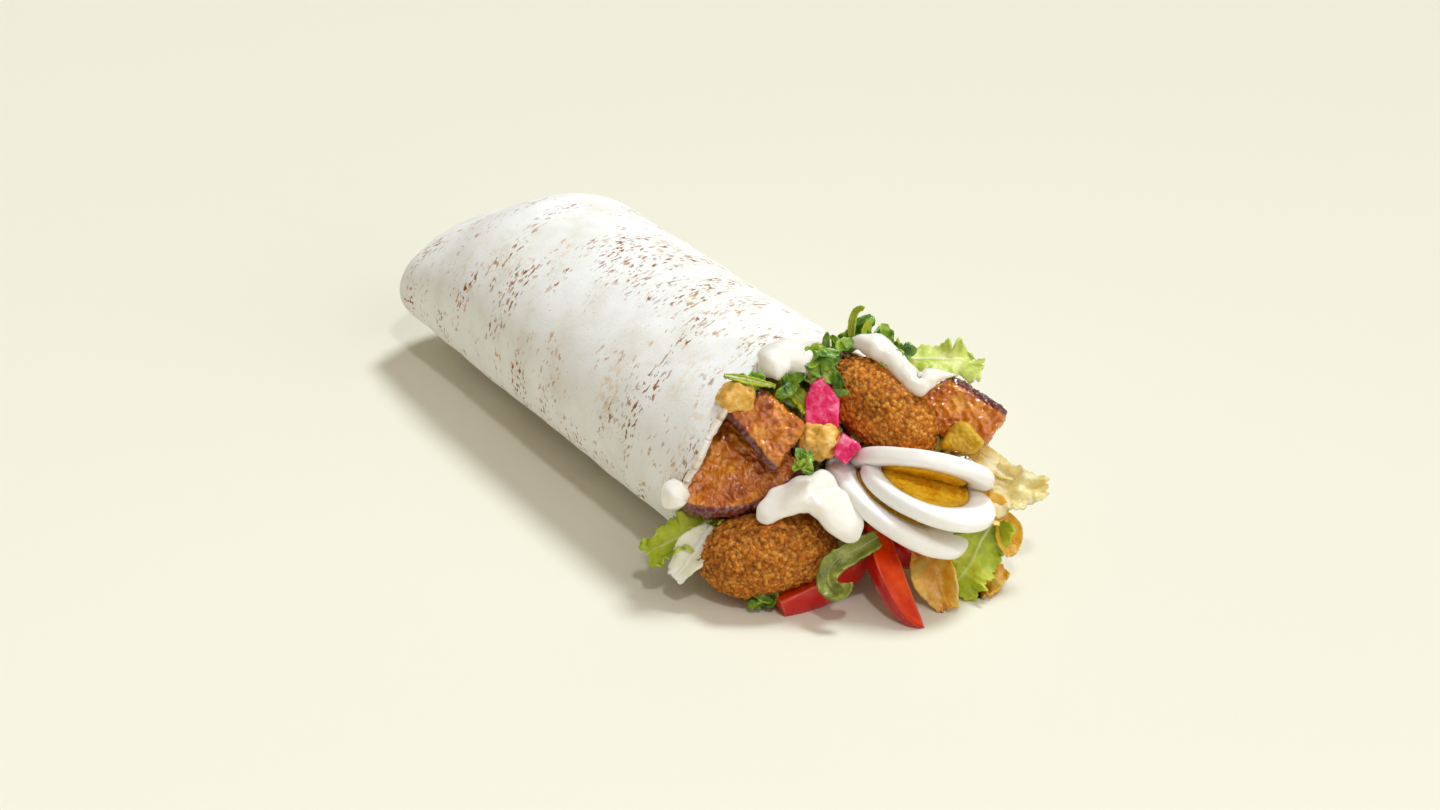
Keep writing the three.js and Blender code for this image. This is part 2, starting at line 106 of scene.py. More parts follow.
def foodMaterial(name, look):
    # base colour from patches of noise, a finer grain in the relief, and the surface's own gloss
    material = bpy.data.materials.new(name)
    material.use_nodes = True
    shader = material.node_tree.nodes["Principled BSDF"]
    for entry, names in sockets.items():
        if entry in look:
            values = look[entry] if len(names) > 1 else (look[entry],)
            for socket, value in zip(names, values):
                shader.inputs[socket].default_value = value
    coords = addNode(material, "ShaderNodeTexCoord").outputs["Object"]
    patches = addNode(
        material, "ShaderNodeTexNoise",
        inputs={"Scale": perMetre(look["patch"]), "Detail": 4, "Roughness": 0.6},
        links={"Vector": coords},
    )
    colour = addNode(
        material, "ShaderNodeValToRGB", stops=look["colours"], links={"Fac": patches.outputs["Fac"]}
    )
    grain = addNode(
        material, "ShaderNodeTexNoise",
        inputs={"Scale": perMetre(look["grain"]), "Detail": 3, "Roughness": 0.6},
        links={"Vector": coords},
    )
    bump = addNode(
        material, "ShaderNodeBump",
        inputs={"Strength": look["bump"], "Distance": look["grain"] * mm * 0.5},
        links={"Height": grain.outputs["Fac"]},
    )
    links = material.node_tree.links
    links.new(colour.outputs["Color"], shader.inputs["Base Color"])
    links.new(bump.outputs["Normal"], shader.inputs["Normal"])
    links.new(bump.outputs["Normal"], shader.inputs["Coat Normal"])
    roughLow, roughHigh = look["rough"]
    rough = addNode(
        material, "ShaderNodeMapRange",
        inputs={"From Min": 0.3, "From Max": 0.7, "To Min": roughLow, "To Max": roughHigh},
        links={"Value": patches.outputs["Fac"]},
    )
    links.new(rough.outputs["Result"], shader.inputs["Roughness"])
    return material


def tint(material, mask, code, low=0.0, high=1.0, amount=1.0):
    # lays a colour over the base colour where a mask rises from low to high
    tree = material.node_tree
    shader = tree.nodes["Principled BSDF"]
    under = shader.inputs["Base Color"].links[0].from_socket
    if isinstance(mask, str):
        mask = addNode(material, "ShaderNodeAttribute", {"attribute_name": mask}).outputs["Fac"]
    share = addNode(
        material, "ShaderNodeMapRange",
        inputs={"From Min": low, "From Max": high, "To Min": 0, "To Max": amount},
        links={"Value": mask},
    )
    mix = addNode(
        material, "ShaderNodeMix", {"data_type": "RGBA"},
        inputs={7: linear(code)},
        links={0: share.outputs["Result"], 6: under},
    )
    tree.links.new(mix.outputs[2], shader.inputs["Base Color"])
    return material


def spots(material, size, threshold, seed=0.0):
    # a mask of scattered spots of a size in millimetres
    coords = addNode(material, "ShaderNodeTexCoord").outputs["Object"]
    field = addNode(
        material, "ShaderNodeTexNoise", {"noise_dimensions": "4D"},
        inputs={"Scale": perMetre(size), "Detail": 2, "W": seed},
        links={"Vector": coords},
    )
    return addNode(
        material, "ShaderNodeMapRange",
        inputs={"From Min": threshold, "From Max": threshold + 0.06},
        links={"Value": field.outputs["Fac"]},
    ).outputs["Result"]


# How the meshes are shaped and handed over.
def refine(bm, target, where=None):
    # splits long edges until none is longer than the target
    for _ in range(9):
        long = [e for e in bm.edges if e.calc_length() > target and (not where or where(e))]
        if not long:
            break
        bmesh.ops.subdivide_edges(bm, edges=long, cuts=1)
        bmesh.ops.triangulate(bm, faces=[f for f in bm.faces if len(f.verts) > 3])


def soften(bm, times, factor=0.5):
    for _ in range(times):
        bmesh.ops.smooth_vert(
            bm, verts=bm.verts, factor=factor, use_axis_x=True, use_axis_y=True, use_axis_z=True
        )


def mark(bm, name, values):
    layer = bm.verts.layers.float.get(name) or bm.verts.layers.float.new(name)
    for vertex, value in zip(bm.verts, values):
        vertex[layer] = value


def markEdges(bm, spread):
    # 1 along the sharp edges of a chunk, fading over some steps of its mesh
    values = {}
    for vertex in bm.verts:
        least = min((vertex.normal.dot(f.normal) for f in vertex.link_faces), default=1)
        values[vertex] = min(1, 3 * (1 - least))
    for _ in range(spread):
        values = {
            v: max(values[v], 0.82 * max(values[e.other_vert(v)] for e in v.link_edges))
            for v in bm.verts
        }
    mark(bm, "edge", [values[v] for v in bm.verts])


def relief(bm, terms, seed=0.0):
    # moves the surface along its normals; each term is a height and a size in millimetres and a kind
    bm.normal_update()
    whole = sum(abs(term[0]) for term in terms)
    heights = []
    shift = Vector((seed * 7.3, seed * 3.1, seed * 5.7))
    for vertex in bm.verts:
        total = 0
        for amount, size, kind in terms:
            spot = vertex.co / size + shift
            if kind == "soft":
                total += amount * noise.noise(spot)
            elif kind == "crumb":
                total += amount * (1 - 2.2 * noise.voronoi(spot)[0][0])
            elif kind == "folds":
                total += amount * (1 - 3.2 * abs(noise.noise(spot)))
        heights.append(total)
    for vertex, height in zip(bm.verts, heights):
        vertex.co += vertex.normal * height
    mark(bm, "raised", [0.5 + 0.5 * height / whole for height in heights])


def finishPiece(name, bm, material, nodes=(), matrix=None):
    bmesh.ops.recalc_face_normals(bm, faces=bm.faces)
    if matrix:
        bmesh.ops.transform(bm, matrix=matrix, verts=bm.verts)
    for face in bm.faces:
        face.smooth = True
    for vertex in bm.verts:
        vertex.co.z = max(vertex.co.z, 0.0001)  # nothing dips into what it rests on
    mesh = bpy.data.meshes.new(name)
    bm.to_mesh(mesh)
    bm.free()
    mesh.materials.append(material)
    piece = bpy.data.objects.new(name, mesh)
    scene.collection.objects.link(piece)
    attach(piece, "root")
    if nodes:
        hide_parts(*nodes)


def putPiece(node, ending, bm, material, one):
    # a finished piece in the heap, in the place of one plain node
    place = placed(one["at"], one.get("along", (1, 0, 0)), one.get("facing", (0, 0, 1)))
    finishPiece(node + ending, bm, material, [node], place)


def addInto(target, bm, matrix):
    # joins one small shape into a bigger bmesh
    bmesh.ops.recalc_face_normals(bm, faces=bm.faces)
    bmesh.ops.transform(bm, matrix=matrix, verts=bm.verts)
    small = bpy.data.meshes.new("small")
    bm.to_mesh(small)
    bm.free()
    target.from_mesh(small)
    bpy.data.meshes.remove(small)


def smoothstep(value, low, high):
    share = min(1, max(0, (value - low) / (high - low)))
    return share * share * (3 - 2 * share)


def mixed(a, b, share):
    return a + (b - a) * share


# The roll, open at the mouth and folded in at the tail; sizes are in millimetres from here on.
bread = {
    "length": 141,
    "mouth": (70, 59),
    "tail": (66, 55),
    "wall": 3.2,
    "layer": 1.5,  # one turn of the bread
    "seamStep": 1.6,
    "seamAngle": -38,
    "mouthReach": 16,
    "mouthWaves": ((3.5, 6), (7.2, -4)),
    "flat": 1.3,
    "tailPressed": (5, 39),
    "tailSlope": 38,
    "tailRound": 8,
    "tailTuck": 4,
    "around": 250,
    "shift": (36.18, -2.54, 0),
}


def rolledPoint(radius, angle, share, inset, reach):
    along = min(1, max(0, share))
    halfWidth = mixed(bread["tail"][0], bread["mouth"][0], along) / 2
    fullHeight = mixed(bread["tail"][1], bread["mouth"][1], along)
    slope = smoothstep(along * bread["length"], 0, bread["tailSlope"])
    bottom = mixed(bread["tailPressed"][0], 0, slope)
    halfHeight = (mixed(bread["tailPressed"][1], fullHeight, slope) - bottom) / 2
    turn = (angle - math.radians(bread["seamAngle"])) / (2 * math.pi)
    roll = bread["seamStep"] * (turn - math.floor(turn) - 0.5) if inset <= 1 else 0
    y = (halfWidth - inset + roll) * radius * math.cos(angle)
    z = bottom + halfHeight + (halfHeight - inset + roll) * radius * math.sin(angle)
    wave = sum(
        c * math.cos((i + 1) * angle) + s * math.sin((i + 1) * angle)
        for i, (c, s) in enumerate(bread["mouthWaves"])
    )
    x = share * (bread["length"] + bread["mouthReach"] + radius * wave) - bread["length"] + reach
    if share < 0.1:
        # the end is folded in like a parcel: two sides tucked under, then one flap over them
        crease = math.exp(-(((z - 12.5) / 3.5) ** 2))
        flap = smoothstep(z, 13.2, 14.6) * (1 - 0.5 * smoothstep(z, 22, 36))
        sides = smoothstep(abs(y) - 0.55 * (z + 14), 0, 1.6) * smoothstep(z, 14, 15)
        x += (0.8 * bread["tailTuck"] * crease - 1.9 * flap + 2 * sides) * (1 - radius ** 4)
    flat = bread["flat"]
    return Vector((x, y, max(z, flat + inset) - flat))


def breadRows():
    # rings of the bread as radius, share of the length, inset and extra reach in x, from the tail's
    # middle along the outside, over the two layers of the mouth's edge and back inside
    rows = []
    for i in range(45):
        swing = i / 44 * math.pi / 2
        share = (1 - math.cos(swing) ** 0.8) * bread["tailRound"] / bread["length"]
        rows.append((math.sin(swing) ** 0.8, share, 0, 0))
    first = rows[-1][1]
    rows += [(1, mixed(first, 1, i / 140), 0, 0) for i in range(1, 141)]
    layer, wall = bread["layer"], bread["wall"]
    for i in range(1, 7):  # lip of the outer layer
        swing = i / 6 * math.pi
        rows.append((1, 1, layer / 2 * (1 - math.cos(swing)), 0.8 * math.sin(swing)))
    rows += [(1, 1, layer, -2.5), (1, 1, layer + 0.25, -2.5)]  # the gap between the layers
    for i in range(7):  # lip of the inner layer
        swing = i / 6 * math.pi
        deep = layer + 0.3 + (wall - layer - 0.3) / 2 * (1 - math.cos(swing))
        rows.append((1, 1, deep, 0.8 * math.sin(swing) - 1.4))
    rows += [(1, mixed(1, 0.1, i / 12), wall, -1.4 * (1 - i / 12)) for i in range(1, 13)]
    rows += [(1 - i / 4, 0.1 - 0.04 * math.sin(i / 4 * math.pi / 2), wall, 0) for i in range(1, 5)]
    return rows


breadProfile = breadRows()
bm = bmesh.new()
bmesh.ops.create_cone(
    bm, cap_ends=False, segments=bread["around"], radius1=1, radius2=1, depth=1
)
upright = [e for e in bm.edges if abs(e.verts[0].co.z - e.verts[1].co.z) > 0.5]
bmesh.ops.subdivide_edges(bm, edges=upright, cuts=len(breadProfile) - 2, use_grid_fill=True)
uvLayer = bm.loops.layers.uv.new("roll")
seam = math.radians(bread["seamAngle"])
step = 2 * math.pi / bread["around"]
turns, rings = {}, {}
for vertex in bm.verts:
    rings[vertex] = round((vertex.co.z + 0.5) * (len(breadProfile) - 1))
    angle = math.atan2(vertex.co.y, vertex.co.x) % (2 * math.pi)
    column = round(angle / step) % bread["around"]
    turns[vertex] = seam + (0.12 if column == 0 else column) * step
toast, foldedIn, places = [], [], []
for vertex in bm.verts:
    radius, share, inset, reach = breadProfile[rings[vertex]]
    angle = turns[vertex]
    spot = Vector((math.cos(angle), math.sin(angle), 0))
    torn = 1.1 * noise.noise(spot * 5) + 0.5 * noise.noise(spot * 17)
    point = rolledPoint(radius, angle, share, inset, reach + torn * smoothstep(share, 0.9, 1))
    places.append(point)
    # painted shade: the folded-in end of the tail is marked for a slightly grey tint
    foldedIn.append(1 - radius ** 3 if share < 0.5 else 0)
    # the toast mask holds real toast on the tail's corners and the mouth's torn rim, painted shade in a
    # thin line along the tuck's crease and in a band along the flap's crease on the tail's end, and a
    # light tan over the inner layer
    tuckLine = math.exp(-(((share * bread["length"] - 13 - 3 * math.sin(angle)) / 0.8) ** 2))
    folded = math.exp(-(((point.z - 13) / 1.1) ** 2)) * (1 - radius ** 6) if share < 0.06 else 0
    toast.append(
        0.75 * tuckLine * smoothstep(math.sin(angle + 2.4), 0.93, 1) + 0.6 * folded
        + 0.5 * smoothstep(0.06 - share, 0, 0.05) * max(0, noise.noise(point / 3.5))
        + smoothstep(share, 0.985, 1) * (0.5 + 0.7 * noise.noise(spot * 4 + Vector((3, 1, 0))))
        if inset < bread["layer"] + 0.1 else 0.4
    )
for face in bm.faces:
    values = [turns[loop.vert] for loop in face.loops]
    wraps = max(values) - min(values) > math.pi
    for loop, value in zip(face.loops, values):
        around = value + 2 * math.pi if wraps and value < seam + math.pi else value
        lengthways = breadProfile[rings[loop.vert]][1] * bread["length"]
        loop[uvLayer].uv = (lengthways * mm, around * 31 * mm)
for vertex, point in zip(bm.verts, places):
    vertex.co = point
mark(bm, "toast", toast)
mark(bm, "folded", foldedIn)
bmesh.ops.remove_doubles(bm, verts=bm.verts, dist=0.002)
bmesh.ops.recalc_face_normals(bm, faces=bm.faces)
relief(bm, [(0.55, 26, "soft"), (0.3, 9, "soft"), (0.1, 3.2, "soft")], seed=2)
bmesh.ops.translate(bm, vec=bread["shift"], verts=bm.verts)

# Soft wheat flatbread baked on a hot plate and dusted with flour: matt and nearly white, with toast
# specks where its blisters touched the plate. The specks lie in streaks that run round the roll.
flatbreadCrust = foodMaterial("bakedFlouryFlatbread", {
    "colours": ((0.3, "#ece9e0"), (0.5, "#f7f7f4"), (0.7, "#fcfdfd")),
    "patch": 14, "grain": 0.7, "bump": 0.35, "rough": (0.78, 0.92), "ior": 1.45, "specular": 0.3,
    "scatter": (0.12, 0.002, (1, 0.8, 0.6)),
})
rollMap = addNode(flatbreadCrust, "ShaderNodeUVMap", {"uv_map": "roll"}).outputs["UV"]
speckLooks = (  # (length, width, where it starts to show) of a speck and of a streak, colour, amount
    ((2.3, 0.9, 0.55), (32, 8, 0.52), "#985818", 1),
    ((3.2, 1.3, 0.59), (20, 10, 0.51), "#c8924a", 0.75),
    ((1.0, 0.8, 0.68), (60, 40, 0.45), "#b07c42", 0.7),
    ((2.2, 1.4, 0.5), (40, 16, 0.58), "#e6d3b3", 0.6),
)
for index, (speck, streak, code, amount) in enumerate(speckLooks):
    masks = []
    for (around, along, cut), fade in ((speck, 0.06), (streak, 0.1)):
        stretched = addNode(
            flatbreadCrust, "ShaderNodeMapping",
            inputs={
                "Scale": (perMetre(along), perMetre(around), 1),
                "Location": (3.7 * index, 1.9 * index, 0),
            },
            links={"Vector": rollMap},
        )
        field = addNode(
            flatbreadCrust, "ShaderNodeTexNoise",
            inputs={"Scale": 1, "Detail": 2, "Roughness": 0.55},
            links={"Vector": stretched.outputs["Vector"]},
        )
        masks.append(addNode(
            flatbreadCrust, "ShaderNodeMapRange",
            inputs={"From Min": cut, "From Max": cut + fade},
            links={"Value": field.outputs["Fac"]},
        ).outputs["Result"])
    both = addNode(
        flatbreadCrust, "ShaderNodeMath", {"operation": "MULTIPLY"}, links={0: masks[0], 1: masks[1]}
    )
    tint(flatbreadCrust, both.outputs["Value"], code, amount=amount)
# painted shade: a slightly grey tint over the tail's folded-in end
tint(flatbreadCrust, "folded", "#efece2", 0.05, 0.35)
# tan toast on the mouth's rim and the tail's corners, and painted shade along the tail's creases
tint(flatbreadCrust, "toast", "#d9b98a", 0.25, 0.9, 0.8)
finishPiece("flatbread_roll", bm, flatbreadCrust, ["flatbread"], Matrix.Scale(mm, 4))
print("flatbread")


# Two falafel, as half lengths along each axis.
falafel = {
    "low": {"size": (17.5, 11.3, 12.5), "taper": 0, "at": (-8, -25.3, 9.5), "along": (1, 0.15, 0)},
    "top": {"size": (16.8, 10.2, 11.5), "taper": 0.12, "at": (21.1, 10.8, 6),
            "along": (0.71, -0.69, 0.1)},
}


def lumpyBall(size, subdivisions, lump, taper=0.0):
    bm = bmesh.new()
    bmesh.ops.create_icosphere(bm, subdivisions=subdivisions, radius=1)
    for vertex in bm.verts:
        p = vertex.co.copy()
        wave = math.sin(5 * p.x + 1) * math.sin(4 * p.y + 2) * math.sin(6 * p.z)
        slim = 1 + taper * p.x
        p *= 1 + lump * wave
        vertex.co = (p.x * size[0], p.y * size[1] * slim, p.z * size[2] * slim)
    return bm


# Chickpea balls with a deep-fried crumb: dry and rough, golden on the tips of the crumbs, and painted
# shade in dark brown in the pits between them.
falafelCrust = foodMaterial("deepFriedFalafelCrumb", {
    "colours": ((0.3, "#ac5c10"), (0.5, "#cc761c"), (0.7, "#e09434")),
    "patch": 2.2, "grain": 0.35, "bump": 0.6, "rough": (0.55, 0.8), "ior": 1.46, "specular": 0.25,
    "scatter": (0.05, 0.001, (1, 0.2, 0.1)),
})
crumbs = addNode(
    falafelCrust, "ShaderNodeTexVoronoi", inputs={"Scale": perMetre(0.95), "Randomness": 1},
    links={"Vector": addNode(falafelCrust, "ShaderNodeTexCoord").outputs["Object"]},
)
crumbTone = addNode(falafelCrust, "ShaderNodeSeparateColor", links={"Color": crumbs.outputs["Color"]})
tint(falafelCrust, crumbTone.outputs["Red"], "#ecaa4a", 0.45, 1, 0.8)
tint(falafelCrust, crumbTone.outputs["Green"], "#8e4c12", 0.6, 1, 0.6)
# painted shade: dark brown in the gaps between the crumbs
tint(falafelCrust, crumbs.outputs["Distance"], "#6a360c", 0.45, 0.85, 0.7)
pits = addNode(falafelCrust, "ShaderNodeAttribute", {"attribute_name": "raised"}).outputs["Fac"]
sunk = addNode(
    falafelCrust, "ShaderNodeMath", {"operation": "SUBTRACT"}, inputs={0: 1.0}, links={1: pits}
)
# painted shade: dark brown in the low pits of the relief
tint(falafelCrust, sunk.outputs["Value"], "#5c2f0a", 0.55, 0.8, 0.6)
crumbBump = addNode(
    falafelCrust, "ShaderNodeBump", {"invert": True}, inputs={"Strength": 0.8, "Distance": 0.0005},
    links={"Height": crumbs.outputs["Distance"]},
)
falafelShader = falafelCrust.node_tree.nodes["Principled BSDF"]
falafelCrust.node_tree.links.new(
    falafelShader.inputs["Normal"].links[0].from_socket, crumbBump.inputs["Normal"]
)
falafelCrust.node_tree.links.new(crumbBump.outputs["Normal"], falafelShader.inputs["Normal"])

for index, (where, one) in enumerate(falafel.items()):
    bm = lumpyBall(one["size"], 6, 0.05, one["taper"])
    relief(bm, [(0.5, 5, "soft"), (0.55, 1.3, "crumb"), (0.35, 0.8, "crumb")], seed=index + 1)
    putPiece("falafel_" + where, "_ball", bm, falafelCrust, one)
print("falafel")


# Three slices that lean on each other.
egg = {
    "slice": 4.4,
    "yolkRadius": 11.6,
    "rim": 1.2,  # how far the yolk's colour runs into the white
    "blunt": 0.07,
    "slices": {
        "a": {
            "size": (37, 30), "at": (31.4, -4.4, 9.6), "along": (0.986, -0.165, 0.05),
            "facing": (-0.16, -0.96, 0.22), "offset": (0, 0),
        },
        "b": {
            "size": (36, 29), "at": (32.6, -10, 13), "along": (0.92, -0.39, 0.1),
            "facing": (0.35, 0.83, 0.42), "offset": (-1.6, 1.2),
        },
        "c": {
            "size": (42, 32), "at": (25, -13, 9), "along": (0.82, -0.57, 0.08),
            "facing": (0.52, 0.74, 0.42), "offset": (-1.5, 0.8),
        },
    },
}


def eggRing(size, offset):
    half = egg["slice"] / 2
    hole = egg["yolkRadius"] * 2 / size[1]
    bm = bmesh.new()
    outline = [(hole, -half * 0.7), (hole + 0.02, -half)]
    for i in range(15):
        swing = mixed(-90, 90, i / 14)
        c, s = math.cos(math.radians(swing)), math.sin(math.radians(swing))
        outline.append((0.9 + 0.1 * abs(c) ** 0.7, half * math.copysign(abs(s) ** 0.7, s)))
    outline += [(hole + 0.02, half), (hole, half * 0.7)]
    ring = [bm.verts.new((x, 0, z)) for x, z in outline]
    edges = [bm.edges.new((a, b)) for a, b in zip(ring, ring[1:] + ring[:1])]
    bmesh.ops.spin(
        bm, geom=ring + edges, cent=(0, 0, 0), axis=(0, 0, 1), angle=2 * math.pi, steps=72,
        use_merge=True,
    )
    for vertex in bm.verts:
        x, y, z = vertex.co
        radius = math.hypot(x, y)
        outwards = (radius - hole) / (1 - hole)
        stretch = mixed(size[1], size[0], outwards) / 2
        vertex.co = (
            x * stretch + offset[0] * (1 - outwards),
            y * size[1] / 2 * (1 + egg["blunt"] * x / radius * outwards) + offset[1] * (1 - outwards),
            z,
        )
    bmesh.ops.subdivide_edges(bm, edges=bm.edges, cuts=1, use_grid_fill=True)
    return bm


def yolkDisc():
    half = egg["slice"] / 2 + 0.1
    radius = egg["yolkRadius"]
    bm = bmesh.new()
    outline = [(0, -half)] + [(radius * i / 16, -half) for i in range(1, 16)]
    outline += [(radius, -half + 0.5), (radius + 0.1, 0), (radius, half - 0.5)]
    outline += [(radius * i / 16, half) for i in range(15, 0, -1)] + [(0, half)]
    line = [bm.verts.new((x, 0, z)) for x, z in outline]
    edges = [bm.edges.new(pair) for pair in zip(line, line[1:])]
    bmesh.ops.spin(
        bm, geom=line + edges, cent=(0, 0, 0), axis=(0, 0, 1), angle=2 * math.pi, steps=96,
        use_merge=True,
    )
    bmesh.ops.remove_doubles(bm, verts=bm.verts, dist=0.01)
    bmesh.ops.recalc_face_normals(bm, faces=bm.faces)
    bmesh.ops.triangulate(bm, faces=bm.faces)
    refine(bm, 0.45)
    return bm


# Set egg white: smooth and satin, a little translucent at its rim.
eggWhiteFlesh = foodMaterial("boiledEggWhite", {
    "colours": ((0.3, "#f4f1ea"), (0.6, "#faf9f6"), (0.8, "#fdfdfb")),
    "patch": 8, "grain": 1.6, "bump": 0.06, "rough": (0.26, 0.38), "ior": 1.36,
    "scatter": (0.3, 0.003, (1, 0.93, 0.85)), "coat": (0.15, 0.2),
})
# Firm yolk: golden and crumbly, with a green-brown ring where it meets the white.
eggYolkCrumb = foodMaterial("boiledEggYolk", {
    "colours": ((0.3, "#d89c04"), (0.5, "#eeba12"), (0.7, "#f8d238")),
    "patch": 3, "grain": 0.6, "bump": 0.7, "rough": (0.5, 0.75), "ior": 1.45,
    "scatter": (0.2, 0.0015, (1, 0.6, 0.15)),
})
tint(eggYolkCrumb, "rim", "#b07a14", 0.84, 1, 0.7)
tint(eggWhiteFlesh, "rim", "#cfc79a", 0.7, 1, 0.6)

for index, (letter, one) in enumerate(egg["slices"].items()):
    bm = eggRing(one["size"], one["offset"])
    relief(bm, [(0.12, 6, "soft"), (0.04, 1.8, "soft")], seed=index + 3)
    middle = Vector(one["offset"])
    mark(bm, "rim", [
        1 - smoothstep((v.co.xy - middle).length, egg["yolkRadius"], egg["yolkRadius"] + egg["rim"])
        for v in bm.verts
    ])
    putPiece("egg_white_" + letter, "_slice", bm, eggWhiteFlesh, one)
    bm = yolkDisc()
    relief(bm, [(0.26, 1.3, "crumb"), (0.3, 4, "soft")], seed=index + 8)
    mark(bm, "rim", [math.hypot(v.co.x, v.co.y) / egg["yolkRadius"] for v in bm.verts])
    bmesh.ops.translate(bm, vec=(*one["offset"], 0), verts=bm.verts)
    putPiece("egg_yolk_" + letter, "_disc", bm, eggYolkCrumb, one)
print("egg slices")


# Cut vegetables: a flat outline given thickness, bevelled, softened and wrinkled.

def chunk(outline, thickness, bevel, fine):
    bm = bmesh.new()
    face = bm.faces.new([bm.verts.new((x, y, -thickness / 2)) for x, y in outline])
    grown = bmesh.ops.extrude_face_region(bm, geom=[face])["geom"]
    top = [g for g in grown if isinstance(g, bmesh.types.BMVert)]
    bmesh.ops.translate(bm, vec=(0, 0, thickness), verts=top)
    bmesh.ops.recalc_face_normals(bm, faces=bm.faces)
    bmesh.ops.bevel(
        bm, geom=bm.edges[:], offset=bevel, segments=3, profile=0.5, affect="EDGES", material=-1
    )
    bmesh.ops.triangulate(bm, faces=bm.faces)
    refine(bm, fine)
    bm.normal_update()
    return bm


def fromLine(point, start, end):
    start, end = Vector(start), Vector(end)
    line = end - start
    share = min(1, max(0, (point - start).dot(line) / line.length_squared))
    return (point - start - line * share).length


def chunkPieces(kind, pieces, material, cut):
    # every piece of one food, cut, softened and wrinkled alike
    for index, (name, one) in enumerate(pieces.items()):
        bm = chunk(one["outline"], one["thick"], one.get("bevel", cut["bevel"]), cut["fine"])
        markEdges(bm, cut["edge"])
        if "skin" in one:
            mark(bm, "skin", [
                1 - smoothstep(min(fromLine(v.co.xy, a, b) for a, b in one["skin"]), 0.4, 1.7)
                for v in bm.verts
            ])
        soften(bm, cut["soften"])
        relief(bm, cut["relief"], seed=index + cut["seed"])
        if cut["settle"]:
            soften(bm, 1, cut["settle"])
        putPiece(kind + "_" + name, "_piece", bm, material, one)


sectorCorners = [(-4, -7)] + [  # a sector with its apex drawn back under the bread
    (25.5 * math.cos(math.radians(a * 8.1)), 25.5 * math.sin(math.radians(a * 8.1))) for a in range(11)
]
aubergine = {
    "cube": {
        "outline": [(-10, 4.3), (2, -10.3), (9.8, 0.8), (-0.8, 9.5)], "thick": 10, "bevel": 1.1,
        "at": (-8.4, 6.2, 15.5),
        "skin": [((-10, 4.3), (2, -10.3)), ((-10, 4.3), (-0.8, 9.5))],
    },
    "wedge": {
        "outline": sectorCorners, "thick": 7,
        "at": (-19.7, 8.7, 7), "along": (-0.387, -0.89, 0.24), "facing": (-0.02, 0.27, 0.96),
        "skin": [(a, b) for a, b in zip(sectorCorners[1:], sectorCorners[2:])],
    },
    "corner": {
        "outline": [(-10, 3.8), (-9, -2.5), (-2, -8.5), (6, -8.6), (11.2, -0.3), (-1.8, 7.9)],
        "thick": 9,
        "at": (41.7, 10.8, 3),
        "skin": [((11.2, -0.3), (-1.8, 7.9))],
    },
}
# Aubergine fried in oil: soft flesh turned orange-brown, wrinkled and wet with oil, and a dark
# purple skin that stays glossy.
aubergineFlesh = foodMaterial("oilFriedAubergine", {
    "colours": ((0.25, "#8a3604"), (0.42, "#c2640c"), (0.58, "#de8a16"), (0.75, "#f4b440")),
    "patch": 6, "grain": 1.1, "bump": 0.22, "rough": (0.14, 0.3), "ior": 1.47,
    "scatter": (0.2, 0.002, (1, 0.5, 0.2)), "coat": (1, 0.1),
})
tint(aubergineFlesh, "edge", "#6b2a14", 0.35, 1, 0.75)
tint(aubergineFlesh, spots(aubergineFlesh, 1.5, 0.66, 2), "#5a2a10", amount=0.6)
tint(aubergineFlesh, "skin", "#5c1628", 0.35, 0.75, 0.94)

chunkPieces("aubergine", aubergine, aubergineFlesh, {
    "bevel": 1, "fine": 0.55, "edge": 7, "soften": 7, "settle": 0.3, "seed": 11,
    "relief": [(0.5, 7, "soft"), (0.45, 3.4, "folds"), (0.5, 1.6, "folds"), (0.2, 0.9, "folds")],
})

turnip = {
    "stick": {
        "outline": [(-4, -6.5), (4.3, -6.8), (4.6, 0.4), (0.3, 6.3), (-2.4, 4.6), (-4.2, 0.5)],
        "thick": 8, "at": (5.7, 12.8, 13),
    },
    "cube": {
        "outline": [(-3.6, -1.4), (-0.3, -4), (3.6, 0.7), (-1.1, 4.2)], "thick": 6.5,
        "at": (12.1, 1, 17),
    },
}
# Turnip pickled pink with beetroot: wet and slightly see-through, with a painted highlight in pale pink
# along its cut edges.
pickledTurnip = foodMaterial("pinkPickledTurnip", {
    "colours": ((0.34, "#cc1650"), (0.5, "#ea3070"), (0.66, "#fc8cb0")),
    "patch": 4, "grain": 0.9, "bump": 0.25, "rough": (0.22, 0.4), "ior": 1.38,
    "scatter": (0.4, 0.003, (1, 0.35, 0.55)), "coat": (0.3, 0.15),
})
# painted highlight: pale pink along the bevelled edges
tint(pickledTurnip, "edge", "#f9b3d0", 0.45, 1, 0.85)
chunkPieces("turnip", turnip, pickledTurnip, {
    "bevel": 0.55, "fine": 0.4, "edge": 4, "soften": 3, "settle": 0, "seed": 21,
    "relief": [(0.3, 4, "soft"), (0.08, 1.1, "folds")],
})

pickle = {
    "wedge": {
        "outline": [(-5.5, -2.4), (3.4, -4.2), (5.8, -1.2), (1.8, 4), (-0.4, 4.2), (-3, 1.5)],
        "thick": 7, "at": (41.1, 3.7, 10),
    },
}
# Brined cucumber: olive yellow-green flesh, wet and glossy.
brinedPickle = foodMaterial("brinedCucumber", {
    "colours": ((0.3, "#ae8408"), (0.5, "#c89a14"), (0.75, "#dcba3c")),
    "patch": 4, "grain": 0.8, "bump": 0.25, "rough": (0.2, 0.36), "ior": 1.38,
    "scatter": (0.3, 0.003, (0.8, 1, 0.3)), "coat": (0.4, 0.12),
})
tint(brinedPickle, "edge", "#d8d284", 0.5, 1, 0.5)
chunkPieces("pickle", pickle, brinedPickle, {
    "bevel": 0.9, "fine": 0.45, "edge": 4, "soften": 5, "settle": 0, "seed": 31,
    "relief": [(0.5, 4, "soft"), (0.1, 1.2, "folds")],
})
print("aubergine, turnip, pickle")


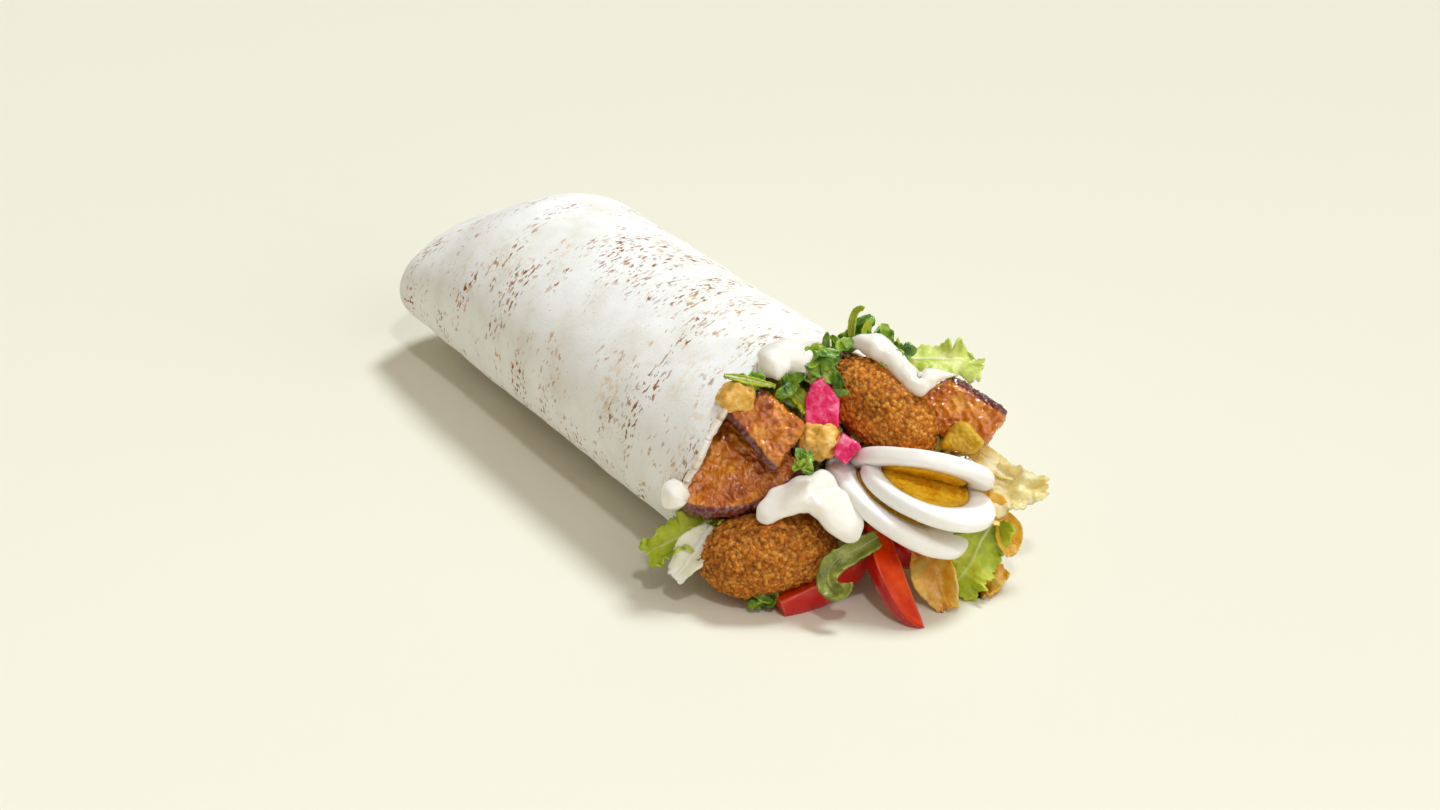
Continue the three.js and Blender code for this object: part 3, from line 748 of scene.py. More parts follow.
# Small fried florets.
cauliflower = {
    "floret": {"size": (5.2, 4.8, 4.5), "at": (5.4, 3, 16.5), "bud": 0.55},
    "stalk": {"size": (4.9, 4.2, 4), "at": (-15.6, 14, 20), "bud": 0.2},
}
# Cauliflower fried in the same oil: pale yellow buds with brown tips.
friedCauliflower = foodMaterial("friedCauliflower", {
    "colours": ((0.3, "#d09426"), (0.5, "#e6b454"), (0.7, "#f6d88e")),
    "patch": 3, "grain": 0.5, "bump": 0.5, "rough": (0.35, 0.6), "ior": 1.42,
    "scatter": (0.25, 0.002, (1, 0.8, 0.4)),
})
tint(friedCauliflower, "raised", "#c08a3e", 0.62, 0.85, 0.55)
tint(friedCauliflower, spots(friedCauliflower, 1.8, 0.62, 7), "#a5672a", amount=0.7)
for index, (name, one) in enumerate(cauliflower.items()):
    bm = lumpyBall(one["size"], 5, 0.12)
    relief(bm, [(0.7, 3.6, "soft"), (one["bud"], 2.2, "crumb"), (0.12, 0.8, "crumb")], seed=index + 41)
    putPiece("cauliflower_" + name, "_piece", bm, friedCauliflower, one)


# Wedges cut from whole tomatoes: length, width and depth, the angle between the cut faces, and the
# share of the length that is trimmed off one end.
tomato = {
    "left": {
        "size": (44, 11, 11), "opening": 50, "trim": 0.28, "at": (3.2, -34, 10),
        "along": (0.87, 0.45, -0.2), "facing": (0.34, -0.65, 0.66),
    },
    "centre": {
        "size": (36, 8.5, 8.5), "opening": 46, "trim": 0.1, "at": (21.6, -28.6, 14),
        "along": (0.31, -0.89, 0.33), "facing": (-0.865, -0.3, 0.39),
    },
    "right": {
        "size": (30, 11, 12), "opening": 48, "trim": 0, "at": (29.5, -23.5, 4),
        "along": (0.97, -0.22, 0.1), "facing": (0.1, -0.5, 0.85),
    },
}


def tomatoWedge(size, opening, trim):
    length, width, depth = size
    bm = bmesh.new()
    bmesh.ops.create_uvsphere(bm, u_segments=64, v_segments=48, radius=1)
    bmesh.ops.rotate(bm, verts=bm.verts, matrix=Matrix.Rotation(math.radians(90), 3, "Y"))
    bmesh.ops.scale(bm, vec=(length / 2, width, depth), verts=bm.verts)
    half = math.radians(opening / 2)
    planes = [
        ((0, 0, 0), (0, math.cos(half), -math.sin(half))),
        ((0, 0, 0), (0, -math.cos(half), -math.sin(half))),
        ((length * (trim - 0.5), 0, 0), (-1, 0, 0)),
    ]
    for place, outward in planes:
        geom = bm.verts[:] + bm.edges[:] + bm.faces[:]
        cut = bmesh.ops.bisect_plane(
            bm, geom=geom, dist=1e-4, plane_co=place, plane_no=outward, clear_outer=True
        )["geom_cut"]
        rim = [g for g in cut if isinstance(g, bmesh.types.BMEdge)]
        if rim:
            bmesh.ops.holes_fill(bm, edges=rim)
    bmesh.ops.triangulate(bm, faces=[f for f in bm.faces if len(f.verts) > 4])
    refine(bm, 0.7)
    skin = []
    for v in bm.verts:
        out = math.hypot(v.co.x / (length / 2), v.co.y / width, v.co.z / depth)
        skin.append(smoothstep(out, 0.93, 0.98))
    mark(bm, "skin", skin)
    markEdges(bm, 1)
    bmesh.ops.translate(bm, vec=(0, 0, -depth * 0.55), verts=bm.verts)
    return bm


# Ripe tomato: wet orange-red flesh on the cut faces, and a taut, glossier red skin with tiny
# pale dots.
tomatoFlesh = foodMaterial("ripeTomatoWedge", {
    "colours": ((0.3, "#c8260a"), (0.5, "#de3c0c"), (0.75, "#ee5c1a")),
    "patch": 5, "grain": 0.9, "bump": 0.25, "rough": (0.14, 0.28), "ior": 1.37,
    "scatter": (0.25, 0.003, (1, 0.25, 0.12)), "coat": (0.5, 0.08),
})
tint(tomatoFlesh, "skin", "#c00d08", 0.3, 0.7, 0.95)
# painted highlight: a pale orange line along the wedge's sharp edges, where skin meets cut face
tint(tomatoFlesh, "edge", "#f6805a", 0.3, 1, 0.5)
tint(tomatoFlesh, spots(tomatoFlesh, 0.8, 0.7, 5), "#f09060", amount=0.5)
for index, (name, one) in enumerate(tomato.items()):
    bm = tomatoWedge(one["size"], one["opening"], one["trim"])
    relief(bm, [(0.3, 6, "soft"), (0.06, 1.4, "soft")], seed=index + 51)
    putPiece("tomato_" + name, "_wedge", bm, tomatoFlesh, one)
print("cauliflower, tomato")


# Ropes of sauce along curves, and one pool that spills over the falafel.
sauce = {  # a path in the heap's frame and the rope's radius along it
    "shoulder": {
        "path": [
            (-10.2, 19.5, 18), (-7.5, 22, 17), (-3.4, 24, 14.5), (1.5, 22.6, 14), (6.5, 20.4, 13.5),
        ],
        "radii": [2.8, 4.3, 4.6, 3.8, 2.6],
    },
    "ribbon": {
        "path": [
            (10.8, 27.6, 5.5), (17.4, 27.8, 8), (23.2, 24.4, 9.5), (27.8, 19.6, 11.5),
            (30.6, 17.2, 12.5), (34.6, 19.4, 11.5), (41, 19.6, 10),
        ],
        "radii": [3, 3.3, 3, 2.7, 3, 2.6, 2],
    },
    "dab": {
        "path": [(-27.4, -7, 16), (-31, -10.6, 16.5), (-30.6, -14.2, 15.5)], "radii": [2.4, 3.6, 3],
    },
}
spill = {
    "thick": 4.6,
    "outline": (  # direction in degrees and reach in millimetres, round the pool
        (22, 7.3), (61, 8), (90, 5), (148, 6.5), (176, 11), (191, 13.9), (203, 15), (213, 13.5),
        (222, 8.5),
        (240, 5.2), (262, 4.6), (283, 6), (296, 10), (305, 15.3), (316, 16.8), (331, 15), (349, 11.4),
    ),
    "at": (2.9, -10.4, 20.6),
    "facing": (0, 0.25, 0.97),
}


def onPath(points, share):
    # a smooth curve through the points
    last = len(points) - 1
    place = min(last - 1e-6, max(0, share * last))
    i = int(place)
    t = place - i
    p1, p2 = Vector(points[i]), Vector(points[i + 1])
    p0 = Vector(points[i - 1]) if i else 2 * p1 - p2
    p3 = Vector(points[i + 2]) if i + 2 <= last else 2 * p2 - p1
    return 0.5 * (2 * p1 + (p2 - p0) * t + (2 * p0 - 5 * p1 + 4 * p2 - p3) * t * t
                  + (3 * p1 - p0 - 3 * p2 + p3) * t ** 3)


def sauceRope(points, radii):
    bm = bmesh.new()
    bmesh.ops.create_uvsphere(bm, u_segments=28, v_segments=64, radius=1)
    for vertex in bm.verts:
        x, y, z = vertex.co
        share = math.acos(max(-1, min(1, -z))) / math.pi
        girth = math.hypot(x, y)
        middle = onPath(points, share)
        along = (onPath(points, share + 0.01) - onPath(points, share - 0.01)).normalized()
        across = Vector((0, 0, 1)).cross(along).normalized()
        out = along.cross(across)
        place = min(len(radii) - 1.001, share * (len(radii) - 1))
        radius = mixed(radii[int(place)], radii[int(place) + 1], place - int(place))
        body = radius * min(1, 1.6 * girth) / girth if girth > 1e-5 else 0
        vertex.co = middle + across * x * body + out * y * body
    return bm


# Garlic yoghurt sauce: thick and glossy, off-white, softly translucent where it is thin.
garlicSauce = foodMaterial("garlicYoghurtSauce", {
    "colours": ((0.3, "#f0e9dd"), (0.55, "#f8f3ea"), (0.8, "#fcfaf5")),
    "patch": 7, "grain": 2.2, "bump": 0.12, "rough": (0.16, 0.28), "ior": 1.4,
    "scatter": (0.35, 0.003, (1, 0.93, 0.8)), "coat": (0.25, 0.12),
})
for index, (name, one) in enumerate(sauce.items()):
    bm = sauceRope(one["path"], one["radii"])
    relief(bm, [(0.9, 5.5, "soft"), (0.35, 2.4, "soft")], seed=index + 63)
    finishPiece("sauce_" + name + "_rope", bm, garlicSauce, ["sauce_" + name], placed())

bm = bmesh.new()
bmesh.ops.create_uvsphere(bm, u_segments=120, v_segments=40, radius=1)
turnsRound = [(a - 360, r) for a, r in spill["outline"]] + list(spill["outline"])
turnsRound += [(a + 360, r) for a, r in spill["outline"]]
for vertex in bm.verts:
    x, y, z = vertex.co
    angle = math.degrees(math.atan2(y, x)) % 360
    after = next(i for i, (at, _) in enumerate(turnsRound) if at > angle)
    (low, near), (high, far) = turnsRound[after - 1], turnsRound[after]
    reach = mixed(near, far, smoothstep(angle, low, high))
    x, y = x * reach, y * reach
    vertex.co = (x, y, z * spill["thick"] / 2 - 0.01 * (x * x + y * y))
soften(bm, 6)
relief(bm, [(0.6, 6, "soft"), (0.25, 2.5, "soft")], seed=66)
finishPiece("sauce_spill_pool", bm, garlicSauce, ["sauce_spill"],
            placed(spill["at"], (1, 0, 0), spill["facing"]))
print("sauce")


# Every leaf and petal is the same bent sheet with other settings.

def curledSpine(length, turn, share):
    # place and heading on a strip that curls more and more towards its end
    steps = 20
    x = y = 0
    for i in range(steps):
        heading = turn * (share * (i + 0.5) / steps) ** 4
        x += math.cos(heading) * share * length / steps
        y += math.sin(heading) * share * length / steps
    return x, y, turn * share ** 4


def thicken(bm, thickness):
    # a second skin along the sheet's own normals, which can't spike where the sheet folds sharply
    bm.normal_update()
    outwards = {tuple(vertex.co): vertex.normal.copy() for vertex in bm.verts}
    grown = bmesh.ops.extrude_face_region(bm, geom=bm.faces[:], use_keep_orig=True)["geom"]
    for vertex in [g for g in grown if isinstance(g, bmesh.types.BMVert)]:
        vertex.co += outwards[tuple(vertex.co)] * thickness


def leaf(size, look, seed):
    length, width = size
    bm = bmesh.new()
    bmesh.ops.create_grid(bm, x_segments=64, y_segments=36, size=0.5)
    veins, starts = [], []
    for vertex in bm.verts:
        u, w = vertex.co.x, vertex.co.y
        starts.append(0.5 - u)
        taper = 1 - look["point"] * (u + 0.5) ** 2 - 0.35 * (0.5 - u) ** 3
        taper *= math.sqrt(1 - look["oval"] * (2 * u) ** 2)
        edge = abs(w) * 2
        side = 1 if w > 0 else -1
        jag = noise.noise(Vector((u * 9, side * 3, seed)))
        jag += 0.6 * noise.noise(Vector((u * 26, side * 3, seed)))
        reach = 1 + look["jag"] * jag * edge
        wave = look["ruffle"] * edge ** 2 * math.sin(9 * u + (0 if w > 0 else 1.6))
        wander = noise.noise(Vector((u * 5, side * 2, seed)))
        wave += look["frill"] * edge ** 3 * math.sin(24 * u + 3 * side + 9 * wander)
        crinkle = look["crinkle"] * noise.noise(Vector((u * length / 4, w * width / 4, seed)))
        bend = look["curl"] * (u + 0.5) ** 2 + look["cup"] * (edge * taper) ** 2 + wave + crinkle
        # side veins leave the rib at a slant
        branch = abs(((u - 0.8 * abs(w)) * look["veins"]) % 1 - 0.5) * 2
        sway = 0.3 * noise.noise(Vector((u * 3, 5, seed)))
        rib = math.exp(-((2 * w - sway) / 0.07) ** 2) * (0.9 - u)
        vein = max(rib, 0.6 * smoothstep(branch, 0.88, 1) * (1 - 0.6 * edge))
        veins.append(vein)
        ends = 0.05 * length * noise.noise(Vector((w * 7, u, seed + 4))) * (2 * abs(u)) ** 3
        across = width * w * taper * reach
        z = bend + 0.3 * vein * look["thick"]
        if look["turn"]:  # the leaf curls round sideways from its start
            x, y, heading = curledSpine(length, math.radians(look["turn"]), u + 0.5)
            vertex.co = (x - across * math.sin(heading), y + across * math.cos(heading), z)
        else:
            vertex.co = (length * u + ends, across, z)
    mark(bm, "vein", veins)
    mark(bm, "base", starts)
    bmesh.ops.recalc_face_normals(bm, faces=bm.faces)
    thicken(bm, look["thick"] * 0.6)
    return bm


# Crisp salad lettuce: waxy and bright, with pale veins that let the light through.
lettuceLeaf = foodMaterial("crispLettuce", {
    "colours": ((0.3, "#7c9612"), (0.5, "#aab81e"), (0.72, "#d6d850")),
    "patch": 7, "grain": 0.8, "bump": 0.4, "rough": (0.3, 0.48), "ior": 1.42,
    "scatter": (0.3, 0.0015, (0.6, 1, 0.25)), "coat": (0.15, 0.25),
})
tint(lettuceLeaf, "vein", "#e6ecb4", 0.2, 1, 0.6)
# The lettuce's inner leaves: pale yellow-green and thin.
youngLettuce = foodMaterial("paleInnerLettuce", {
    "colours": ((0.3, "#a3b93a"), (0.5, "#cbd765"), (0.72, "#edf2ae")),
    "patch": 6, "grain": 0.8, "bump": 0.4, "rough": (0.28, 0.45), "ior": 1.42,
    "scatter": (0.35, 0.0015, (0.7, 1, 0.3)), "coat": (0.15, 0.25),
})
tint(youngLettuce, "vein", "#f6f8d8", 0.2, 1, 0.7)
# An older leaf of the same lettuce: olive, with a bronze tinge.
oliveLettuce = foodMaterial("bronzedLettuce", {
    "colours": ((0.3, "#56601a"), (0.5, "#7e862e"), (0.7, "#b8bc64")),
    "patch": 5, "grain": 0.8, "bump": 0.4, "rough": (0.24, 0.4), "ior": 1.42,
    "scatter": (0.25, 0.0015, (0.6, 1, 0.25)), "coat": (0.25, 0.2),
})
tint(oliveLettuce, "vein", "#c9cf8c", 0.3, 1, 0.45)
# White cabbage: stiff, creamy and half clear, with faint green patches.
cabbageLeaf = foodMaterial("whiteCabbage", {
    "colours": ((0.3, "#e8eab4"), (0.5, "#f6f5d6"), (0.75, "#fdfcec")),
    "patch": 8, "grain": 1.1, "bump": 0.2, "rough": (0.28, 0.45), "ior": 1.4,
    "scatter": (0.4, 0.003, (0.9, 1, 0.6)), "coat": (0.15, 0.25),
})
tint(cabbageLeaf, "vein", "#fbfaf0", 0.2, 1, 0.8)
tint(cabbageLeaf, spots(cabbageLeaf, 3.5, 0.6, 3), "#b9c76a", amount=0.35)
# Onion fried soft: golden and see-through, with amber spots.
friedOnion = foodMaterial("friedOnionPetal", {
    "colours": ((0.3, "#f0940c"), (0.5, "#fdb82c"), (0.7, "#ffdc7c")),
    "patch": 5, "grain": 0.9, "bump": 0.55, "rough": (0.2, 0.4), "ior": 1.43,
    "scatter": (0.45, 0.003, (1, 0.7, 0.3)), "clear": 0.2, "coat": (0.6, 0.15),
})
tint(friedOnion, "vein", "#fccc64", 0.1, 1, 0.5)
tint(friedOnion, spots(friedOnion, 2.2, 0.68, 9), "#c07a28", amount=0.4)

# The inner layers of the same onion: nearly white, gold towards the base and in spots.
paleOnion = foodMaterial("paleOnionPetal", {
    "colours": ((0.3, "#f4d070"), (0.5, "#fbe6a8"), (0.7, "#fff8dc")),
    "patch": 6, "grain": 0.9, "bump": 0.5, "rough": (0.2, 0.36), "ior": 1.43,
    "scatter": (0.45, 0.003, (1, 0.85, 0.5)), "clear": 0.15, "coat": (0.3, 0.15),
})
tint(paleOnion, spots(paleOnion, 3, 0.6, 9), "#dda03c", amount=0.5)
tint(paleOnion, "base", "#eaae38", 0.4, 0.95, 0.85)

plainLeaf = {"thick": 1, "cup": 0, "curl": 0, "ruffle": 0, "point": 0.5, "jag": 0.2, "frill": 0.5,
             "crinkle": 0.8, "veins": 6, "turn": 0, "oval": 0}
leaves = {
    "lettuce_curl": {
        "size": (24.5, 6), "cup": 2.2, "curl": 3, "point": 0.4, "jag": 0.12, "turn": 250,
        "finish": "olive", "at": (20, -21.3, 18), "along": (-0.88, -0.47, 0),
        "facing": (0.1, 0.3, 0.95),
    },
    "lettuce_left": {
        "size": (21, 11), "cup": 2, "ruffle": 2, "point": 0.3, "frill": 1.2, "jag": 0.3,
        "at": (-29, -21, 9), "along": (-0.87, -0.49, 0), "facing": (0.1, 0.5, 0.85),
    },
    "lettuce_right": {
        "size": (22, 14), "cup": 1.5, "ruffle": 2.4, "point": 0.3, "frill": 1.3, "jag": 0.4,
        "at": (44.3, -26, 8), "along": (-0.45, -0.89, 0), "facing": (0.2, 0.3, 0.9),
    },
    "lettuce_top": {
        "size": (23, 10), "cup": 1, "ruffle": 1.8, "point": 0.25, "frill": 1, "jag": 0.45,
        "finish": "young", "at": (36, 23.5, -1), "along": (0.98, -0.12, 0), "facing": (0, 0.5, 0.86),
    },
    "lettuce_strip": {
        "size": (11, 4), "thick": 1.6, "cup": 0.8, "curl": 1.5, "point": 0, "frill": 0.1,
        "at": (-1, 15, 14), "along": (0.6, -0.78, 0), "facing": (0.4, 0.2, 0.9),
    },
    "cabbage_left": {
        "size": (16, 11), "cup": 1.5, "ruffle": 0.5, "point": 0.4, "frill": 0.1, "jag": 0.07,
        "oval": 0.7, "at": (-26.4, -25.2, 12), "along": (-0.6, -0.8, 0.1),
        "facing": (-0.15, 0.35, 0.92),
    },
    "onion_petal_right": {
        "size": (23, 16), "cup": 2.5, "ruffle": 1.4, "point": 0.7, "crinkle": 1.6, "frill": 0.5,
        "jag": 0.25, "finish": "pale", "veins": 2, "at": (52, -9.6, 7), "along": (0.97, 0.12, 0.1),
        "facing": (-0.05, 0.35, 0.94),
    },
    "onion_petal_edge": {
        "size": (11, 8), "cup": 2.2, "curl": 1, "point": 0.3, "crinkle": 0.5, "frill": 0.1, "jag": 0.06,
        "veins": 2, "oval": 0.85, "at": (53, -20.6, 6), "along": (0.15, -1, 0),
        "facing": (0.3, 0.2, 0.93),
    },
    "onion_petal_low": {
        "size": (18, 13), "thick": 1, "cup": 3.4, "curl": 3, "point": 0.3, "crinkle": 1.1, "ruffle": 1,
        "frill": 0.1, "jag": 0.05, "veins": 2, "oval": 0.75, "at": (34.8, -31, 9),
        "along": (0.42, -0.9, 0), "facing": (-0.3, 0.2, 0.93),
    },
    "onion_petal_floor": {
        "size": (14, 10), "cup": 2.5, "ruffle": 1.2, "point": 0.3, "crinkle": 1.4, "frill": 0.4,
        "veins": 2, "oval": 0.7, "at": (47, -33.2, 2.3), "along": (0.8, 0.55, 0.1),
        "facing": (0, 0.5, 0.86),
    },
}
leafFinish = {
    "lettuce": lettuceLeaf, "olive": oliveLettuce, "young": youngLettuce,
    "cabbage": cabbageLeaf, "onion": friedOnion, "pale": paleOnion,
}
scraps = {  # petals tucked behind the egg slices, and snips of leaf on top of the roll
    "onion_scrap_gold": {
        "size": (11, 9), "cup": 2, "ruffle": 1, "point": 0.3, "crinkle": 1, "frill": 0.1, "jag": 0.1,
        "veins": 2, "at": (47.5, -13.5, 9), "along": (0.8, -0.5, 0.1), "facing": (0, 0.4, 0.9),
    },
    "onion_scrap_pale": {
        "size": (14, 8), "cup": 2, "curl": 2, "point": 0.5, "crinkle": 0.6, "frill": 0.1, "jag": 0.08,
        "veins": 2, "finish": "pale", "at": (49, -3.2, 4), "along": (0.8, -0.6, 0),
        "facing": (0.3, 0.5, 0.8),
    },
    "lettuce_snip_long": {
        "size": (9, 2.3), "thick": 0.7, "cup": 0.5, "point": 0.6, "frill": 0, "jag": 0.06,
        "crinkle": 0.2, "turn": -115, "at": (13.4, 29.4, 7), "along": (0.1, 1, 0.1),
        "facing": (-0.5, 0.2, 0.85),
    },
    "lettuce_snip_short": {
        "size": (5.5, 2.6), "thick": 0.7, "cup": 0.6, "point": 0.4, "frill": 0, "crinkle": 0.2,
        "oval": 0.6, "at": (17.4, 30.8, 6), "along": (0.3, 0.95, 0.1), "facing": (0.4, 0.2, 0.9),
    },
    "lettuce_snip_left": {
        "size": (13, 2.8), "thick": 0.8, "cup": 0.8, "point": 0.4, "frill": 0.1, "jag": 0.1,
        "crinkle": 0.4, "oval": 0.7, "at": (-12.4, 18, 22), "along": (0.97, -0.2, -0.1),
        "facing": (0, 0.3, 0.95),
    },
}
for index, (name, one) in enumerate([*leaves.items(), *scraps.items()]):
    slot = name.split("_")[0]
    bm = leaf(one["size"], {**plainLeaf, **one}, index + 1.5)
    finishPiece(
        name + "_leaf", bm, leafFinish[one.get("finish", slot)], [name] if name in leaves else [],
        placed(one["at"], one["along"], one["facing"]),
    )
print("leaves and petals")


# The filling under the heap, and the shreds that lie between the pieces.
core = {"fine": 1.3, "back": 0.05, "sink": 1.8,
        "dents": (((-21, 7, 10), 9, 10), ((-25, -1, 10), 9, 9))}  # centre in the heap, depth, width
bm = bmesh.new()
bm.from_mesh(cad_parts["filling_core"].data)
bmesh.ops.remove_doubles(bm, verts=bm.verts, dist=0.00001)
bmesh.ops.scale(bm, vec=(1000, 1000, 1000), verts=bm.verts)
refine(bm, core["fine"], lambda e: e.verts[0].co.x > core["back"] * 1000)
soften(bm, 3)
relief(bm, [(1.0, 4, "crumb"), (0.9, 8, "soft")], seed=71)
bm.normal_update()
outOfHeap = (heapAxes @ Vector((0, 0, 1, 0))).to_3d()
for vertex in bm.verts:
    vertex.co -= vertex.normal * core["sink"]
    for at, deep, wide in core["dents"]:
        off = (vertex.co - (heapMatrix @ Vector(at)) / mm).length
        vertex.co -= outOfHeap * deep * math.exp(-((off / wide) ** 2))
# Chopped salad packed in sauce, bits of leaf, onion and crumb in mixed colours, kept dark olive and
# brown as painted shade in the gaps between the pieces.
packedSalad = foodMaterial("packedSalad", {
    "colours": ((0.3, "#4d6a1c"), (0.45, "#8fa048"), (0.6, "#c9b878"), (0.75, "#9c6a34")),
    "patch": 5, "grain": 1.2, "bump": 0.8, "rough": (0.35, 0.6), "ior": 1.42,
    "scatter": (0.15, 0.002, (1, 0.2, 0.1)),
})
finishPiece("packed_salad_shade", bm, packedSalad, ["filling_core"], Matrix.Scale(mm, 4))

shreds = {
    "centre": (14, -3, -5), "radii": (27, 23, 14),
    "kinds": {
        "lettuce": {"count": 90, "length": (7, 15), "width": (2, 4)},
        "cabbage": {"count": 40, "length": (8, 16), "width": (1.2, 2.2)},
        "onion": {"count": 26, "length": (6, 12), "width": (1.5, 3)},
    },
}


def shred(length, width, dice):
    bm = bmesh.new()
    bmesh.ops.create_grid(bm, x_segments=9, y_segments=2, size=0.5)
    bow, twist, phase = dice.uniform(-2.5, 2.5), dice.uniform(-1.2, 1.2), dice.uniform(0, 6)
    for vertex in bm.verts:
        u, w = vertex.co.x, vertex.co.y
        turn = twist * u
        half = width * w * (1 - 1.5 * u * u)
        vertex.co = (
            length * u,
            half * math.cos(turn) + 0.6 * math.sin(5 * u + phase),
            half * math.sin(turn) + bow * (1 - 4 * u * u)
            + 0.25 * math.sin(14 * u + phase) + abs(w) * 0.5,
        )
    bmesh.ops.solidify(bm, geom=bm.faces[:], thickness=0.4)
    return bm


for index, (slot, one) in enumerate(shreds["kinds"].items()):
    dice = Random(100 + index)
    pile = bmesh.new()
    for _ in range(one["count"]):
        angle, lift = dice.uniform(0, 2 * math.pi), dice.uniform(-0.25, 1)
        flat = math.sqrt(1 - lift * lift)
        normal = Vector((flat * math.cos(angle), flat * math.sin(angle), lift))
        at = Vector(shreds["centre"]) + Vector(
            n * r for n, r in zip(normal, shreds["radii"])
        ) + normal * dice.uniform(-1, 1.5)
        spin = dice.uniform(0, 2 * math.pi)
        along = Vector((math.cos(spin), math.sin(spin), dice.uniform(-0.3, 0.3)))
        small = shred(dice.uniform(*one["length"]), dice.uniform(*one["width"]), dice)
        addInto(pile, small, placed(at, along, normal))
    mark(pile, "vein", [0.5] * len(pile.verts))
    mark(pile, "base", [0.0] * len(pile.verts))
    finishPiece("shredded_" + slot, pile, leafFinish[slot])
print("packed salad and shreds")


# Herbs scattered over the heap in small clusters.
herbs = {
    "clusters": (  # centre in the heap's frame, spread, count, size of the flakes
        ((5, 22, 15.5), (4.5, 4.5, 1.2), 17, (4.5, 7.5)),
        ((9.5, 17.5, 16), (1.5, 2.5, 0.8), 3, (4.5, 6.5)),
        ((-13, 16.8, 20.5), (4, 1.4, 1), 5, (5, 8)),
        ((-3.5, 16.5, 18), (3, 2.5, 1), 6, (4.5, 7)),
        ((8, 26.5, 11.5), (2.5, 1.6, 1), 5, (4.5, 7)),
        ((14.8, 30.5, 5), (1.6, 2.4, 1.5), 4, (6, 9)),
        ((23.6, 28.6, 4.5), (3, 1.6, 1.2), 6, (3.5, 6.5)),
        ((27, 25.5, 4), (3, 1.4, 1), 4, (4, 6)),
        ((23.7, 22.8, 10.5), (1.2, 1.2, 0.4), 2, (6, 8)),
        ((1.2, -1.8, 22.8), (2.6, 3.4, 0.8), 11, (3.2, 5.5)),
        ((-10, -36.8, 12), (4.5, 1, 2), 5, (4, 7)),
    ),
}


def herbFlake(size, dice):
    bm = bmesh.new()
    bmesh.ops.create_grid(bm, x_segments=9, y_segments=4, size=0.5)
    fold, bow, phase = dice.uniform(0.1, 0.6), dice.uniform(-0.6, 0.9), dice.uniform(0, 6)
    slender, cut = dice.uniform(0.3, 0.75), dice.uniform(-0.3, 0.3)
    for vertex in bm.verts:
        u, w = vertex.co.x, vertex.co.y
        teeth = 0.92 + 0.08 * math.cos(17 * u + phase + (2 if w > 0 else 0))
        outline = math.sqrt(max(0.05, 1 - (1.9 * u) ** 2)) * teeth
        half = slender * w * outline
        vertex.co = (
            size * (u + cut * half),
            size * half,
            size * (fold * abs(half) + bow * u * u + 0.025 * math.sin(9 * u + 5 * w + phase)),
        )
    bmesh.ops.solidify(bm, geom=bm.faces[:], thickness=0.22)
    return bm


# Flat-leaf parsley, freshly chopped: thin deep green flakes, waxy.
choppedParsley = foodMaterial("choppedParsley", {
    "colours": ((0.34, "#2e5606"), (0.5, "#648c14"), (0.66, "#b4c84a")),
    "patch": 4.5, "grain": 0.5, "bump": 0.4, "rough": (0.24, 0.42), "ior": 1.42,
    "scatter": (0.2, 0.001, (0.4, 1, 0.2)), "coat": (0.3, 0.2),
})
dice = Random(7)
pile = bmesh.new()
for centre, spread, count, sizes in herbs["clusters"]:
    for _ in range(count):
        at = Vector(c + dice.gauss(0, 0.5) * s for c, s in zip(centre, spread))
        spin = dice.uniform(0, 2 * math.pi)
        along = Vector((math.cos(spin), math.sin(spin), dice.uniform(-0.7, 0.7)))
        facing = Vector((dice.uniform(-0.6, 0.6), dice.uniform(-0.3, 0.9), 1))
        addInto(pile, herbFlake(dice.uniform(*sizes), dice), placed(at, along, facing))
finishPiece("chopped_parsley", pile, choppedParsley)
print("herbs")


# Floor, light and camera.
studio = {
    "floor": "#ebe8d7",
    "floorSize": 6,
    "worldColour": (1, 0.86, 0.7, 1),
    "worldStrength": 0.31,
    "sunColour": (0.86, 0.955, 1),
    "sunStrength": 2.1,
    "sunHeight": 66,
    "sunFrom": 8,  # degrees from +Y towards -X
    "softness": 15,
    "fillStrength": 0.9,
    "fillFrom": (0.9, 0.3, 0.42),
    "fillSoftness": 60,
    "boxPower": 2.9,
    "boxSide": 0.09,
    "boxTowards": (0.12, 0.5, 0.86),  # in the heap's frame
    "boxAway": 1.2,
    "target": (0.01983, -0.00254, 0.02737),
    "distance": 0.8965,
    "lens": 85,
}
bm = bmesh.new()
bmesh.ops.create_grid(bm, x_segments=2, y_segments=2, size=studio["floorSize"])
floorMesh = bpy.data.meshes.new("floor")
bm.to_mesh(floorMesh)
bm.free()
floor = bpy.data.objects.new("floor", floorMesh)
scene.collection.objects.link(floor)
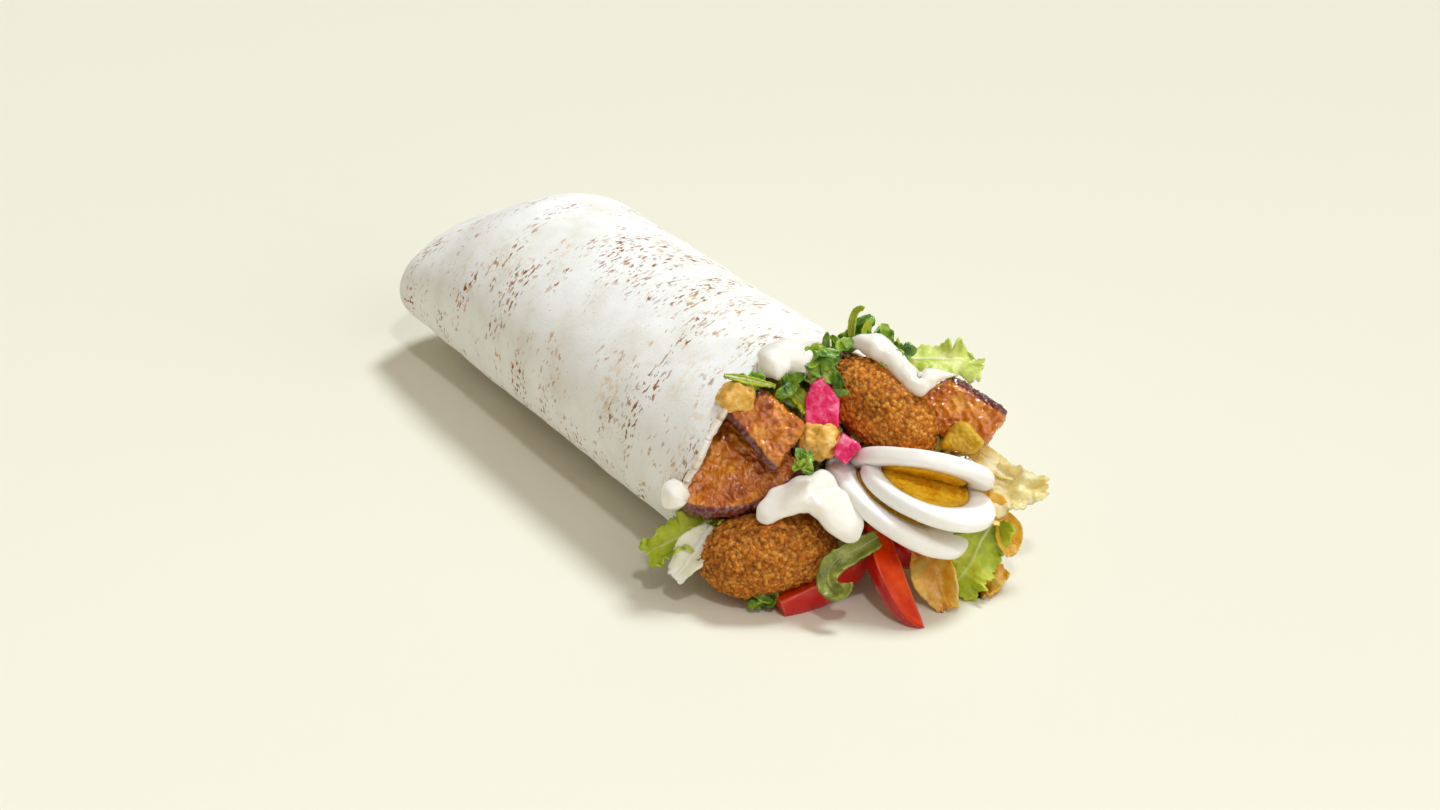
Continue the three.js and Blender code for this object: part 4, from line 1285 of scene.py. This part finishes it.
# Matt painted board: pale, plain and without gloss.
paintedBoard = bpy.data.materials.new("paintedBoard")
paintedBoard.use_nodes = True
boardShader = paintedBoard.node_tree.nodes["Principled BSDF"]
boardShader.inputs["Base Color"].default_value = linear(studio["floor"])
boardShader.inputs["Roughness"].default_value = 0.9
boardShader.inputs["Specular IOR Level"].default_value = 0.1
floorMesh.materials.append(paintedBoard)

world = bpy.data.worlds.new("softRoom")
world.use_nodes = True
background = world.node_tree.nodes["Background"]
background.inputs["Color"].default_value = studio["worldColour"]
background.inputs["Strength"].default_value = studio["worldStrength"]
scene.world = world
scene.view_settings.view_transform = "Standard"

sun = bpy.data.objects.new("window_light", bpy.data.lights.new("window_light", "SUN"))
sun.data.energy = studio["sunStrength"]
sun.data.angle = math.radians(studio["softness"])
sun.data.color = studio["sunColour"]
height, side = math.radians(studio["sunHeight"]), math.radians(studio["sunFrom"])
reach = math.cos(height)
towardsLight = Vector((-math.sin(side) * reach, math.cos(side) * reach, math.sin(height)))
sun.rotation_euler = towardsLight.to_track_quat("Z", "Y").to_euler()
scene.collection.objects.link(sun)

fill = bpy.data.objects.new("wide_fill", bpy.data.lights.new("wide_fill", "SUN"))
fill.data.energy = studio["fillStrength"]
fill.data.angle = math.radians(studio["fillSoftness"])
fill.rotation_euler = Vector(studio["fillFrom"]).to_track_quat("Z", "Y").to_euler()
scene.collection.objects.link(fill)

box = bpy.data.objects.new("small_softbox", bpy.data.lights.new("small_softbox", "AREA"))
box.data.energy = studio["boxPower"]
box.data.size = studio["boxSide"]
towardsBox = (heapAxes @ Vector((*studio["boxTowards"], 0))).to_3d().normalized()
box.location = Vector(studio["target"]) + towardsBox * studio["boxAway"]
box.rotation_euler = towardsBox.to_track_quat("Z", "Y").to_euler()
scene.collection.objects.link(box)

camera = bpy.data.objects.new("camera", bpy.data.cameras.new("camera"))
camera.data.lens = studio["lens"]
camera.data.sensor_width = 36
camera.data.clip_start = 0.01
back = (heapAxes @ Vector((0, 0, 1, 0))).to_3d().normalized()
camera.location = Vector(studio["target"]) + back * studio["distance"]
camera.rotation_euler = back.to_track_quat("Z", "Y").to_euler()
scene.collection.objects.link(camera)
scene.camera = camera
